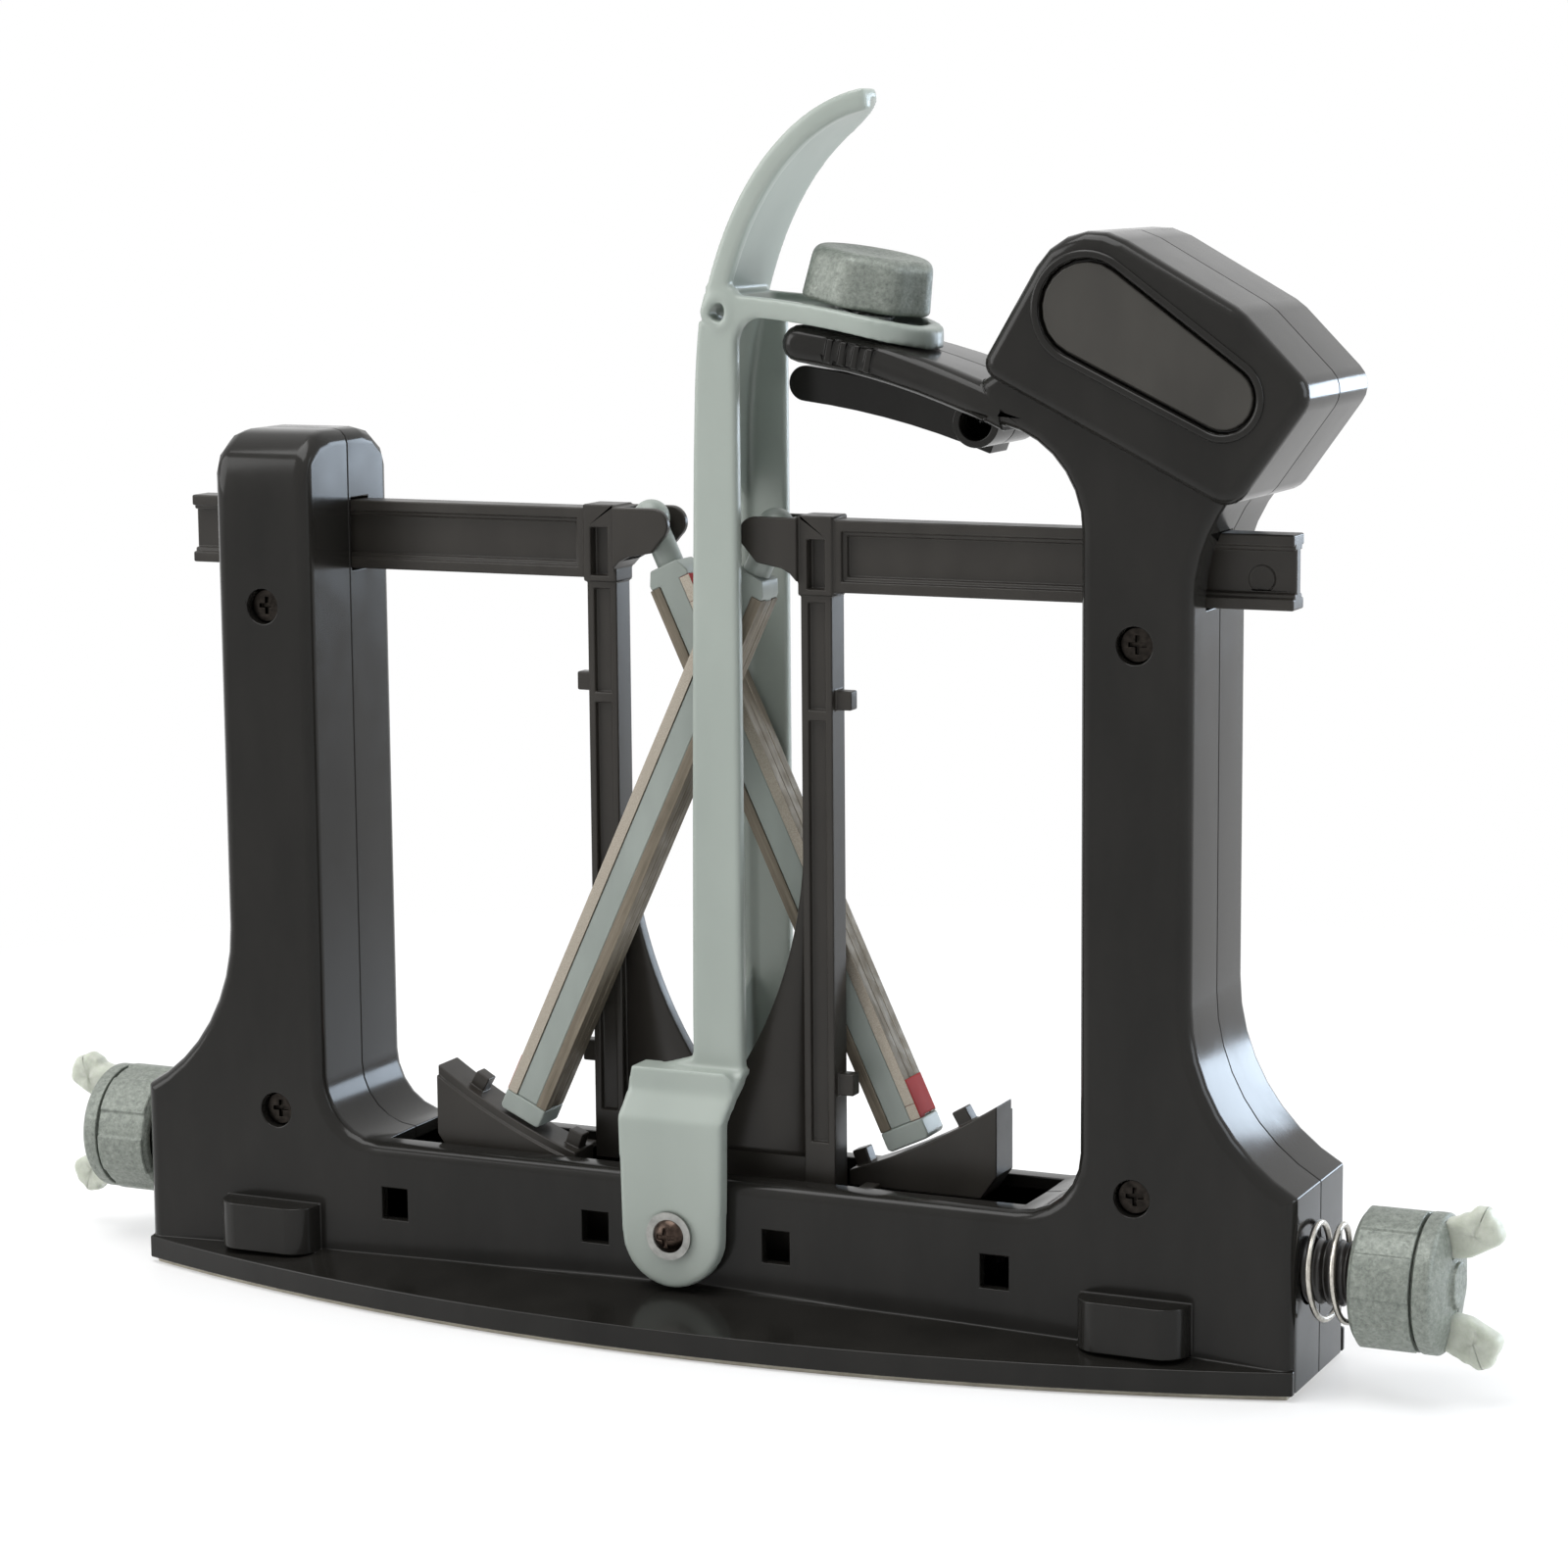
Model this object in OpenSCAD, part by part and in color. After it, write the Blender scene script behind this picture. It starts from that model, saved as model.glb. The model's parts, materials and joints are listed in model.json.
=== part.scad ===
// Pull-through knife sharpener: two crossed rods hang from two sprung sliding
// carriages inside a two-shell case, with a swinging blade guide between them.
// Millimetres. X runs left to right, Y front to back, Z up. The origin lies
// under the middle of the base, on the surface that the sharpener stands on.

/* [Case] */
// Length of the base between its end faces
base_len = 240; // [232:1:250]
// Depth of the case from front face to rear face
case_depth = 32; // [31:0.5:36]
// Height of the base's end faces
shoulder_h = 36.8; // [34:0.1:40]
// Radius of the hollow curve between base and post
flare_r = 38; // [34:1:42]
// Distance from the middle to the outer face of a post
post_out = 100; // [98:0.5:103]
// Width of a post
post_w = 21; // [20:0.5:23]
// Height of the left post
left_post_h = 168; // [162:1:176]
// Radius of the arch over the left post, front to back
arch_r = 10; // [6:0.5:12]
// Height of the window's floor
floor_h = 29.5; // [29.2:0.1:31]
// Radius of the window's lower corners
window_r = 12; // [8:0.5:16]
// Width of the open channel between the rails
channel_w = 20; // [19.4:0.2:22]
// Wall thickness of the shells
wall = 2.6; // [2:0.1:3]
// Rounding of the outer edges
edge_r = 2.6; // [1.6:0.1:3]
// Thickness of the non-slip pad under the base
pad_t = 1; // [0.6:0.1:2]
// Reach of the foot from the middle plane
foot_reach = 36; // [30:0.5:40]
// Height of the foot's rim
foot_rim = 4.4; // [3:0.1:6]
// Height by which the foot rises towards the wall
foot_rise = 2.4; // [1:0.1:4]
// Width of a bumper on the front face
bumper_w = 21; // [16:0.5:24]
// Reach of a bumper from the front face
bumper_reach = 6; // [4:0.5:8]
// Height of a bumper's top
bumper_top = 16; // [12:0.5:20]
// Radius of a case screw's shank
screw_r = 1.5; // [1.2:0.1:2]
// Radius of a case screw's head
screw_head_r = 3.1; // [2.6:0.1:3.6]
// Height of the lower case screws
screw_low_z = 34.2; // [33:0.1:40]
// Height of the upper case screws
screw_high_z = 134.3; // [120:0.1:134.5]

/* [Arc arm and grip] */
// Sideways place of the guide's pivot
pivot_x = -1; // [-3:0.5:1]
// Height of the guide's pivot
pivot_z = 19; // [18:0.5:20]
// Radius of the arc arm's upper face about the pivot
arm_r = 172.4; // [168:0.5:176]
// Height of the arc arm's section
arm_h = 6.9; // [6:0.1:9]
// Depth of the arc arm
arm_depth = 26; // [25:0.5:28]
// Angle from upright to the middle of the arm's rounded tip
arm_tip_a = 8.2; // [8:0.1:8.4]
// Angle from upright at which the arm runs into the case
arm_root_a = 24; // [23.5:0.5:25]
// Height of the lower rail's section
rail_h = 6.6; // [5:0.2:7]
// Drop from the arm's upper face to the lower rail's upper face
rail_drop = 9; // [8.6:0.2:12]
// Radius of the hollow curve under the neck
neck_r = 19; // [16:0.5:21]
// Radius of the hollow curve behind the neck
nape_r = 30; // [26:1:34]
// Drop from the grip's datum to the start of that curve
nape_drop = 49.4; // [46:0.2:53]
// Depth of the grip
grip_depth = 39; // [37:0.5:42]
// Thickness of a grip pad
grip_pad_t = 1.6; // [1:0.1:2.2]

/* [Carriages] */
// Distance from the middle plane to a carriage's own plane
plane_y = 4.3; // [4.2:0.1:4.8]
// Height of the sliding bar's lower face
bar_z = 140.5; // [140.2:0.1:143]
// Height of the sliding bar's section
bar_h = 13.4; // [12:0.1:15]
// Thickness of the sliding bar
bar_t = 6; // [5:0.1:6.4]
// Distance from the middle to the bar's free end
bar_end = 115.9; // [108:0.1:122]
// Thickness of the bar's flanges
bar_flange = 2.1; // [1.6:0.1:3]
// Depth of the bar's side recesses
bar_recess = 1.8; // [1:0.1:2.2]
// Inner face of the leg
leg_x = 21.2; // [20.5:0.1:23]
// Width of the leg
leg_w = 6.3; // [5:0.1:8]
// Radius of the curved edge of the web
web_r = 85; // [80:1:92]
// Height at which the curved edge meets the leg
web_z = 94.6; // [85:0.1:100]
// Thickness of the web
web_t = 3; // [2:0.1:4]
// Height of the link's lower face
link_z = 12; // [11:0.1:12.5]
// Height of the link's section
link_h = 12; // [10:0.1:12.4]
// Width of the nose that holds a rod's head
nose_w = 9.4; // [9:0.1:9.6]
// Thickness of each cheek of the nose
cheek_t = 1.6; // [1.3:0.1:2]
// Clearance between a bar and its hole
bar_gap = 0.3; // [0.2:0.05:0.5]

/* [Rods] */
// Distance from the middle to a rod's pivot
rod_x = 15; // [14:0.5:16]
// Height of a rod's pivot
rod_z = 152; // [151.6:0.1:153]
// Lean of a rod from upright
rod_lean = 25; // [23:0.5:26]
// Length from the pivot to the end of the foot cap
rod_len = 128.5; // [124:0.1:129]
// Width of a rod across its strips
rod_w = 9; // [8:0.1:9.6]
// Depth of a rod across its strips
rod_d = 7.6; // [7:0.1:7.8]
// Width of a strip
strip_w = 2.2; // [1.6:0.1:2.6]
// Depth of a strip
strip_d = 2.4; // [1.6:0.1:2.8]
// Distance from the pivot to the start of the strips
strip_start = 13; // [12.5:0.5:20]
// Amount by which a strip stands proud
strip_proud = 0.2; // [0.1:0.05:0.4]
// Height of the foot cap
cap_h = 4; // [3:0.1:6]
// Swing of a rod each way between its pegs
rod_swing = 2.2; // [1.5:0.1:2.6]
// Width of a peg on the ramp
peg_w = 3.1; // [2:0.1:4]
// Clearance between the foot cap and the ramp
ramp_gap = 0.8; // [0.5:0.1:1.5]
// Radius of a rod head's trunnions
trunnion_r = 1.5; // [1:0.1:1.8]

/* [Guide] */
// Face that the blade rests against
guide_x = 0.9; // [0.5:0.1:1.5]
// Width of the guide's front flange
guide_w = 10.3; // [9:0.1:10.6]
// Thickness of the guide's front flange
guide_front_t = 3; // [2:0.1:3.2]
// Distance from the middle plane to the guide's front face
guide_front_y = 13.5; // [13.2:0.1:14]
// Thickness of the guide's rear flange
guide_rear_t = 2.3; // [1.6:0.1:2.5]
// Distance from the middle plane to the guide's rear face
guide_rear_y = 12.6; // [12.3:0.1:13]
// Thickness of the guide's web
guide_web_t = 2; // [1.6:0.1:2.6]
// Radius of the plate round the pivot
plate_r = 10.3; // [9:0.1:12]
// Thickness of the plate
plate_t = 3.7; // [3:0.1:4.5]
// Radius of the horn's outer curve
horn_r = 50.9; // [46:0.1:54]
// Thickness of the horn's front rim
horn_rim = 4; // [3:0.1:5]
// Turn of the horn from upright to its tip
horn_turn = 70.7; // [55:0.1:76]
// Thickness of the guide's arm over the arc arm
shelf_t = 2.2; // [1.6:0.1:3]
// Height of the rim round that arm
shelf_rim = 1.5; // [1:0.1:2]
// Swing of the guide to the left, in degrees
guide_left_a = 1.7; // [1:0.1:1.8]
// Swing of the guide to the right, in degrees
guide_right_a = 2.5; // [1:0.1:2.6]

/* [Clamp] */
// Angle from upright to the clamp's axis
clamp_a = 10.6; // [10.4:0.1:11]
// Radius of the clamp knob
clamp_knob_r = 12.9; // [11:0.1:14]
// Height of the clamp knob
clamp_knob_h = 10; // [8:0.1:12]
// Rounding of the clamp knob's edges
clamp_round = 2.5; // [1:0.1:3]
// Radius of the clamp bolt
bolt_r = 2.5; // [2:0.1:3]
// Width of the clamp bolt's head along the arm
bolt_head_w = 7; // [6:0.1:7.2]

/* [Tension knobs] */
// Distance from the middle plane to a tension screw's axis
screw_y = 5.5; // [5.4:0.1:5.6]
// Height of a tension screw's axis
screw_z = 21.8; // [21:0.1:22.2]
// Radius of a tension screw
tension_r = 6; // [5:0.1:6.2]
// Radius of a tension knob
knob_r = 12.9; // [11.5:0.1:14]
// Length of a knob's cup
cup_len = 11.4; // [10:0.1:14]
// Length of a knob's cap
cap_len = 5.3; // [5:0.1:7]
// Gap between the case and the right knob's cup
right_gap = 10; // [8:0.1:11]
// Gap between the case and the left knob's cup
left_gap = 6.5; // [6:0.1:9]
// Radius of the outer coil spring
coil_r = 9.2; // [8.4:0.1:9.6]
// Wire diameter of the outer coil spring
coil_wire = 1.2; // [0.8:0.1:1.4]
// Radius of the inner coil spring
spring_r = 5; // [4:0.1:5]
// Wire diameter of the inner coil spring
spring_wire = 1.2; // [0.8:0.1:1.6]
// Turns of the inner coil spring
spring_turns = 12; // [8:1:14]
// Running clearance between a shaft and its bore
run_gap = 0.05; // [0.03:0.01:0.08]

/* [Hidden] */

$fn = 64;
big_fn = 240;
eps = 0.5;
seat_gap = 0.3;

shell_black = [0.11, 0.10, 0.09];
carriage_black = [0.13, 0.12, 0.11];
guide_grey = [0.62, 0.67, 0.63];
knob_grey = [0.46, 0.53, 0.49];
wing_pale = [0.80, 0.83, 0.76];
steel = [0.72, 0.72, 0.70];
strip_steel = [0.66, 0.63, 0.57];
rod_grey = [0.56, 0.60, 0.57];
pad_beige = [0.78, 0.75, 0.66];
brass_tone = [0.75, 0.62, 0.35];
mark_red = [0.55, 0.08, 0.08];

base_half = base_len / 2;
face_y = case_depth / 2;
post_in = post_out - post_w;
post_mid = post_out - post_w / 2;
channel_y = channel_w / 2;
flare_x = post_out + flare_r;
flare_a = acos((flare_x - base_half) / flare_r);
flare_z = shoulder_h + flare_r * sin(flare_a);
grip_y = grip_depth / 2;
arm_y = arm_depth / 2;
arm_in_r = arm_r - arm_h;
rail_r = arm_r - rail_drop;
arm_boss_at = arm_in_r - 1.7;
neck_x = post_in - neck_r;
neck_z = pivot_z + sqrt(pow(arm_in_r, 2) - pow(neck_x - pivot_x, 2)) - neck_r;
arm_top_z = pivot_z + sqrt(pow(arm_r, 2) - pow(neck_x - pivot_x, 2));
nape_a = 140;
post_corner = 3;
grip_at = [post_out - 20, pivot_z + arm_r];
nape_z = grip_at[1] - nape_drop;
// Circles that the grip's outline is stretched over: x, z, radius
grip_circles = [[26.5, -26.9, 4.8], [36.6, -12.6, 5], [24, -4.9, 8.6], [2.3, 3, 12.4], [-14.7, -7.8, 3.3]];
// Circles that the grip pad's outline is stretched over: x, z, radius
pad_circles = [[26.5, -13.2, 5.6], [1.5, 1.9, 8.3]];
foot_r = (pow(base_half, 2) + pow(foot_reach - face_y, 2)) / (2 * (foot_reach - face_y));
foot_slope = 18;
foot_fillet = 1;
bumper_x = post_out - 9.5;
bumper_round = 5;
hatch_x = [19, 63];
hatch_z = 17.7;
hatch_w = 5.6;
hatch_h = 6.3;
screw_gap = 0.2;
counterbore_depth = 4;
screw_tip_y = 9;
boss_r = 5;
arm_boss_a = 20.6;
arm_boss_r = 4.5;
arm_boss_bore = 3.1;
arm_boss_front = 9;
arm_wall = 2.4;
rail_tip_a = 6.5;
rail_front = 4.5;
rail_rear = 9.5;
rail_full_a = 8.6;
rib_a = [10.5, 11.42, 12.34, 13.26];
rib_w = 1.3;
rib_proud = 0.35;
rib_t = 2;
rib_x = [-45, -10, 18];
cradle_x = base_half - 14.5;
cradle_t = 2.2;
cradle_h = 33;
nut_r = 7.8;

bar_top = bar_z + bar_h;
leg_out = leg_x + leg_w;
link_top = link_z + link_h;
link_end = 57;
seat_x = 34;
seat_t = 3;
web_x = leg_x - 0.5 - web_r;
nose_tip_r = 3.2;
nose_tip_x = rod_x - 2.4;
nose_z = rod_z - 1;
nose_top = nose_z + nose_tip_r;
slot_w = nose_w - 2 * cheek_t;
trunnion_len = nose_w - 1.2;
lug_z = [[45.5, 49.7], [118.5, 122.1]];
lug_reach = 3.2;

ramp_r = rod_len + ramp_gap;
foot_cap_w = rod_w + 0.2;
foot_cap_d = rod_d + 0.2;
peg_a = rod_swing + (foot_cap_w + peg_w) / 2 / rod_len * 180 / PI + 0.15;
peg_h = 3;
neck_end = 9.5;
mark_top = 5;
mark_low = 3;

face_gap = 0.3;
plate_back = face_y + face_gap;
plate_front = plate_back + plate_t;
fold_z = 41;
fold_top = 51;
fold_left = pivot_x - plate_r - 0.7;
fold_right = pivot_x + plate_r + 0.5;
gusset_x = pivot_x - 5.5;
gusset_h = 8;
loop_z = 46;
horn_z0 = grip_at[1] + 3.6;
sway_z = horn_z0 - 30;
sway_r = 123.5;
slot_low = 62;
slot_high = sway_z - 6;
slot_front = 10.4;
slot_rear = 9.5;
sway_a = asin((horn_z0 - sway_z) / sway_r);
horn_a0 = 11.9;
horn_x = guide_x + sway_r * (1 - cos(sway_a)) + horn_r * cos(horn_a0);
horn_z = horn_z0 - horn_r * sin(horn_a0);
horn_sheet = 2.2;
shelf_r = arm_r + seat_gap;
shelf_top = shelf_r + shelf_t + shelf_rim;
shelf_front = guide_front_y;
shelf_rear = 9;
shelf_rim_w = 3;
shelf_fillet = 4.6;
shelf_mid_y = (shelf_rear - shelf_front) / 2;
shelf_end_r = (shelf_rear + shelf_front) / 2;
shelf_end_x = pivot_x + shelf_r * sin(clamp_a) + 5;
eye_x = guide_x + 6.3;
eye_z = grip_at[1] + 0.5;
eye_r = 1.7;
bush_r = 3.2;
pivot_screw_r = 1.75;
pivot_head_r = 3.25;
pivot_washer_r = 4.6;
pivot_washer_t = 0.6;
pivot_boss_y = 8.6;

washer_low = shelf_r + shelf_t;
washer_t = 0.8;
hub_low = washer_low + washer_t + seat_gap;
knob_low = arm_r + 5.1;
knob_hub_r = shelf_rear - shelf_rim_w - 0.4;
bolt_head_t = 3.2;
bolt_head_l = 12;
bolt_top = knob_low + 7;
insert_r = 4.6;

nut_out = base_half - wall - 0.2;
nut_in = cradle_x + cradle_t + 0.2;
plunger_x = base_half - 25;
plunger_len = 3.7;
screw_in = plunger_x + plunger_len + seat_gap;
cup_floor = 2.9;
cup_wall = 2.3;
wing_t = 4.6;
coil_turns = 3.4;

// Points on an arc about a centre, between two angles
function arc(c, r, a0, a1, n) =
  [for (i = [0:n]) c + r * [cos(a0 + (a1 - a0) * i / n), sin(a0 + (a1 - a0) * i / n)]];

// Centre line of a coil along X, from x0 to x1
function coil_line(x0, x1, r, turns) =
  [for (i = [0:turns * 8]) [x0 + (x1 - x0) * i / (turns * 8), r * cos(i * 45), r * sin(i * 45)]];

// Extrudes a drawing made in X and Z between two places in Y
module prism(y0, y1) {
  translate([0, y1, 0])
    rotate([90, 0, 0])
      linear_extrude(y1 - y0)
        children();
}

// Cylinder along Y
module bar_y(r, y0, y1, x, z) {
  translate([x, y1, z])
    rotate([90, 0, 0])
      cylinder(r = r, h = y1 - y0);
}

// Cylinder along X
module bar_x(r, x0, x1, y, z) {
  translate([x0, y, z])
    rotate([0, 90, 0])
      cylinder(r = r, h = x1 - x0);
}

// Part of a ring, between two angles from upright
module ring_sector(r_in, r_out, a0, a1) {
  far = r_out * 1.3;
  mid = (a0 + a1) / 2;
  intersection() {
    difference() {
      circle(r = r_out, $fn = big_fn);
      circle(r = r_in, $fn = big_fn);
    }
    polygon([[0, 0], far * [sin(a0), cos(a0)], far * [sin(mid), cos(mid)], far * [sin(a1), cos(a1)]]);
  }
}

// One unbroken wire wound along X, with flat ends
module coil(x0, x1, r, wire, turns) {
  line = coil_line(x0 + wire / 2, x1 - wire / 2, r - wire / 2, turns);
  n = len(line);
  sides = 6;
  step = (line[n - 1][0] - line[0][0]) / (turns * 360) * 180 / PI;
  run = r - wire / 2;
  slant = norm([step, run]);
  echo(str("least gap between turns ", norm(line[8] - line[0]) - wire));
  points = [for (i = [0:n - 1], k = [0:sides - 1])
    let (
      a = i * 45,
      out = [0, cos(a), sin(a)],
      side = [run, step * sin(a), -step * cos(a)] / slant,
      f = k * 360 / sides
    )
    line[i] + wire / 2 * (cos(f) * out + sin(f) * side)];
  skin = [for (i = [0:n - 2], k = [0:sides - 1], h = [0, 1])
    let (
      a = i * sides + k,
      b = i * sides + (k + 1) % sides
    )
    h == 0 ? [a, b, b + sides] : [a, b + sides, a + sides]];
  start = [for (k = [1:sides - 2]) [0, k + 1, k]];
  finish = [for (k = [1:sides - 2]) [(n - 1) * sides, (n - 1) * sides + k, (n - 1) * sides + k + 1]];
  polyhedron(points = points, faces = concat(skin, start, finish), convexity = 10);
}

// Direction of the outward normal where a belt runs from one circle to the next
function belt_a(c0, c1) =
  let (d = [c1[0] - c0[0], c1[1] - c0[1]])
  atan2(d[1], d[0]) - acos((c0[2] - c1[2]) / norm(d));

// Points of a belt stretched over circles, anticlockwise
function belt(circles) =
  let (n = len(circles))
  [for (i = [0:n - 1])
    let (
      c = circles[i],
      a0 = belt_a(circles[(i + n - 1) % n], c),
      a1 = belt_a(c, circles[(i + 1) % n]),
      turn = (a1 - a0 + 720) % 360
    )
    each arc(grip_at + [c[0], c[1]], c[2], a0, a0 + turn, ceil(turn / 18))];

// Moves each side of a closed outline inwards by the same distance
function inset(line, d) =
  let (n = len(line))
  [for (i = [0:n - 1])
    let (
      e0 = (line[i] - line[(i + n - 1) % n]) / norm(line[i] - line[(i + n - 1) % n]),
      e1 = (line[(i + 1) % n] - line[i]) / norm(line[(i + 1) % n] - line[i]),
      n0 = [-e0[1], e0[0]],
      n1 = [-e1[1], e1[0]]
    )
    line[i] + d * (n0 + n1) / (1 + n0 * n1)];

// Front view of the case without its arm, with the left post up to a height
function case_line(left_top) =
  concat(
    [[-base_half, pad_t], [base_half, pad_t]],
    arc([flare_x, flare_z], flare_r, 180 + flare_a, 180, 8),
    arc([post_out + nape_r, nape_z], nape_r, 180, nape_a, 5),
    [grip_at + [26, -18], grip_at + [6, -2], grip_at + [-12, -6], [neck_x, arm_top_z]],
    arc([neck_x, neck_z], neck_r, 90, 0, 8),
    arc([post_in - window_r, floor_h + window_r], window_r, 0, -90, 6),
    arc([window_r - post_in, floor_h + window_r], window_r, 270, 180, 6),
    arc([-post_in - post_corner, left_top - post_corner], post_corner, 0, 90, 3),
    arc([-post_out + post_corner, left_top - post_corner], post_corner, 90, 180, 3),
    arc([-flare_x, flare_z], flare_r, 0, -flare_a, 8)
  );

// Triangles from one point of an outline to each side between two others
function fan(tip, from, to) = [for (i = [from:to - 1]) [tip, i, i + 1]];

// Flat face inside the outline of the case, in fans that lie wholly within it
function case_face() =
  concat([[0, 1, 36]], fan(0, 36, 43), fan(1, 30, 36), fan(30, 1, 10), fan(43, 52, 60), [[43, 60, 0]],
    fan(43, 44, 52), [[29, 30, 10]], fan(29, 10, 18), fan(18, 19, 29));

// Drop of the arch over the left post at a distance from the middle plane
function arch_drop(y) =
  let (over = max(0, y - face_y + arch_r))
  arch_r - sqrt(max(0, pow(arch_r, 2) - pow(over, 2)));

// Solid between the middle plane and a rounded front edge, where the part of
// the outline above arch_from drops with the arch, face lists its flat face
// and widen lets it grow deeper towards the case
module rounded_half(line, face, reach, arch_from, widen) {
  n = len(line);
  rounds = [for (a = [90, 60, 30, 0]) [reach - edge_r + edge_r * sin(a), edge_r * (1 - cos(a))]];
  levels = concat(rounds, arch_from > 0 ? [[reach - arch_r * 0.62, 0], [reach - arch_r, 0]] : [], [[0, 0]]);
  points = [for (level = levels, p = inset(line, level[1]))
    let (arched = arch_from > 0 && p[0] < 0 && p[1] > arch_from)
    [p[0], -level[0] * (widen ? arm_widen(p[0]) : 1), p[1] - (arched ? arch_drop(level[0]) : 0)]];
  skin = [for (k = [0:len(levels) - 2], i = [0:n - 1], h = [0, 1])
    let (
      a = k * n + i,
      b = k * n + (i + 1) % n
    )
    h == 0 ? [a, b, b + n] : [a, b + n, a + n]];
  front = [for (f = face) [f[0], f[2], f[1]]];
  back = [for (f = face) (len(levels) - 1) * n * [1, 1, 1] + f];
  polyhedron(points = points, faces = concat(front, skin, back), convexity = 10);
}

// Front half of the case, solid, with rounded outer edges
module shell_blank() {
  grip_line = belt(grip_circles);
  rounded_half(case_line(left_post_h), case_face(), face_y, left_post_h - post_corner - edge_r - 1,
    false);
  rounded_half(grip_line, fan(0, 1, len(grip_line) - 1), grip_y, 0, false);
}

// Hollow inside the front half
module shell_hollow() {
  prism(wall - face_y, 1)
    polygon(inset(case_line(left_post_h - arch_r * 0.4), wall));
  prism(wall + grip_pad_t - grip_y, 1)
    polygon(inset(belt(grip_circles), wall));
  translate([-post_in + window_r, -channel_y, floor_h - wall - eps])
    cube([2 * (post_in - window_r), channel_y + 1, wall + 2 * eps]);
}

// Curved foot in front of the case
module foot() {
  inner = foot_r - foot_slope - 6;
  intersection() {
    translate([0, foot_r - foot_reach, 0])
      rotate_extrude($fn = big_fn)
        polygon([[inner, pad_t], [foot_r, pad_t], [foot_r, pad_t + foot_rim],
          [foot_r - foot_slope, pad_t + foot_rim + foot_rise],
          [foot_r - foot_slope - 2, pad_t + foot_rim + foot_rise + foot_fillet],
          [inner, pad_t + foot_rim + foot_rise + foot_fillet]]);
    translate([-base_half, -foot_reach - 1, 0])
      cube([base_len, foot_reach + 1 - face_y + wall / 2, 20]);
  }
}

// Rounded bumper on the front face
module bumper() {
  low = pad_t + foot_rim + foot_rise / 2;
  translate([0, -face_y, low])
    linear_extrude(bumper_top - low)
      hull() {
        for (s = [-1, 1])
          translate([s * (bumper_w / 2 - bumper_round), bumper_round - bumper_reach])
            circle(r = bumper_round, $fn = 32);
        translate([-bumper_w / 2, 0])
          square([bumper_w, 1]);
      }
}

// Ring sector with a rounded tip, drawn about the pivot
module arm_section(r_out, r_in, tip, root) {
  mid = (r_out + r_in) / 2;
  ring_sector(r_in, r_out, tip, root);
  translate(mid * [sin(tip), cos(tip)])
    circle(r = (r_out - r_in) / 2);
}

// Upper (1) or lower (-1) edge of the arm, from its root round to its tip
function arm_edge(side) =
  let (
    half = arm_h / 2,
    mid = arm_r - half,
    tip = [pivot_x, pivot_z] + mid * [sin(arm_tip_a), cos(arm_tip_a)],
    out = [sin(arm_tip_a), cos(arm_tip_a)],
    along = [-cos(arm_tip_a), sin(arm_tip_a)]
  )
  concat(
    [for (i = [0:9])
      let (a = arm_root_a + (arm_tip_a - arm_root_a) * i / 9)
      [pivot_x, pivot_z] + (mid + side * half) * [sin(a), cos(a)]],
    [for (f = [22.5, 45, 67.5]) tip + half * (side * cos(f) * out + sin(f) * along)]
  );

// Depth of the arm's front face, which widens where it runs into the case
function arm_widen(x) =
  let (t = min(1, max(0, (x - neck_x + 30) / 30)))
  1 + (face_y / arm_y - 1) * t * t * (3 - 2 * t);

// Front half of the arc arm, with rounded edges
module arm_half() {
  upper = arm_edge(1);
  lower = arm_edge(-1);
  n = len(upper);
  tip = (upper[n - 1] + lower[n - 1]) / 2 - [0.26, 0];
  line = concat(upper, [tip], [for (i = [n - 1:-1:0]) lower[i]]);
  face = concat(
    [for (i = [0:n - 2], h = [0, 1]) h == 0 ? [i, i + 1, 2 * n - i] : [i + 1, 2 * n - i - 1, 2 * n - i]],
    [[n - 1, n, n + 1]]
  );
  rounded_half(line, face, arm_y, 0, true);
}

// Arc arm over both halves of the case
module arm() {
  arm_half();
  mirror([0, 1, 0])
    arm_half();
}

// Channel under the arm and the curved slot for the clamp bolt
module arm_cuts() {
  slot_half = bolt_r + 0.1;
  mid_a0 = clamp_a - guide_left_a - 0.1;
  mid_a1 = clamp_a + guide_right_a + 0.1;
  channel_a0 = clamp_a - guide_left_a - (bolt_head_w / 2 + 0.2) / arm_in_r * 180 / PI;
  translate([pivot_x, 0, pivot_z]) {
    prism(-arm_y + wall, arm_y - wall)
      ring_sector(arm_in_r - eps, arm_r - arm_wall, channel_a0, arm_root_a - 6);
    prism(-slot_half, slot_half)
      ring_sector(arm_in_r - eps, arm_r + eps, mid_a0, mid_a1);
    for (a = [mid_a0, mid_a1])
      rotate([0, a, 0])
        translate([0, 0, arm_in_r - 1])
          cylinder(r = slot_half, h = arm_h + 2);
  }
}

// Lower rail behind the arm, with the wall that carries it
module lower_rail() {
  translate([pivot_x, 0, pivot_z]) {
    prism(rail_front, rail_rear)
      arm_section(rail_r, rail_r - rail_h, rail_tip_a, arm_boss_a);
    prism(rail_rear - eps, arm_y)
      ring_sector(rail_r - rail_h, rail_r, rail_full_a, arm_boss_a);
    prism(arm_y - wall, arm_y)
      ring_sector(rail_r - rail_h / 2, arm_in_r + eps, rail_full_a, arm_boss_a);
  }
}

// Grip ribs on the arm's front face
module arm_ribs() {
  low = arm_in_r + edge_r / 2;
  for (a = rib_a)
    translate([pivot_x, 0, pivot_z])
      rotate([0, a, 0])
        translate([-rib_w / 2, -arm_y * arm_widen(pivot_x + arm_r * sin(a)) - rib_proud, low])
          cube([rib_w, 2 * rib_proud, arm_h - edge_r]);
}

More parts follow.
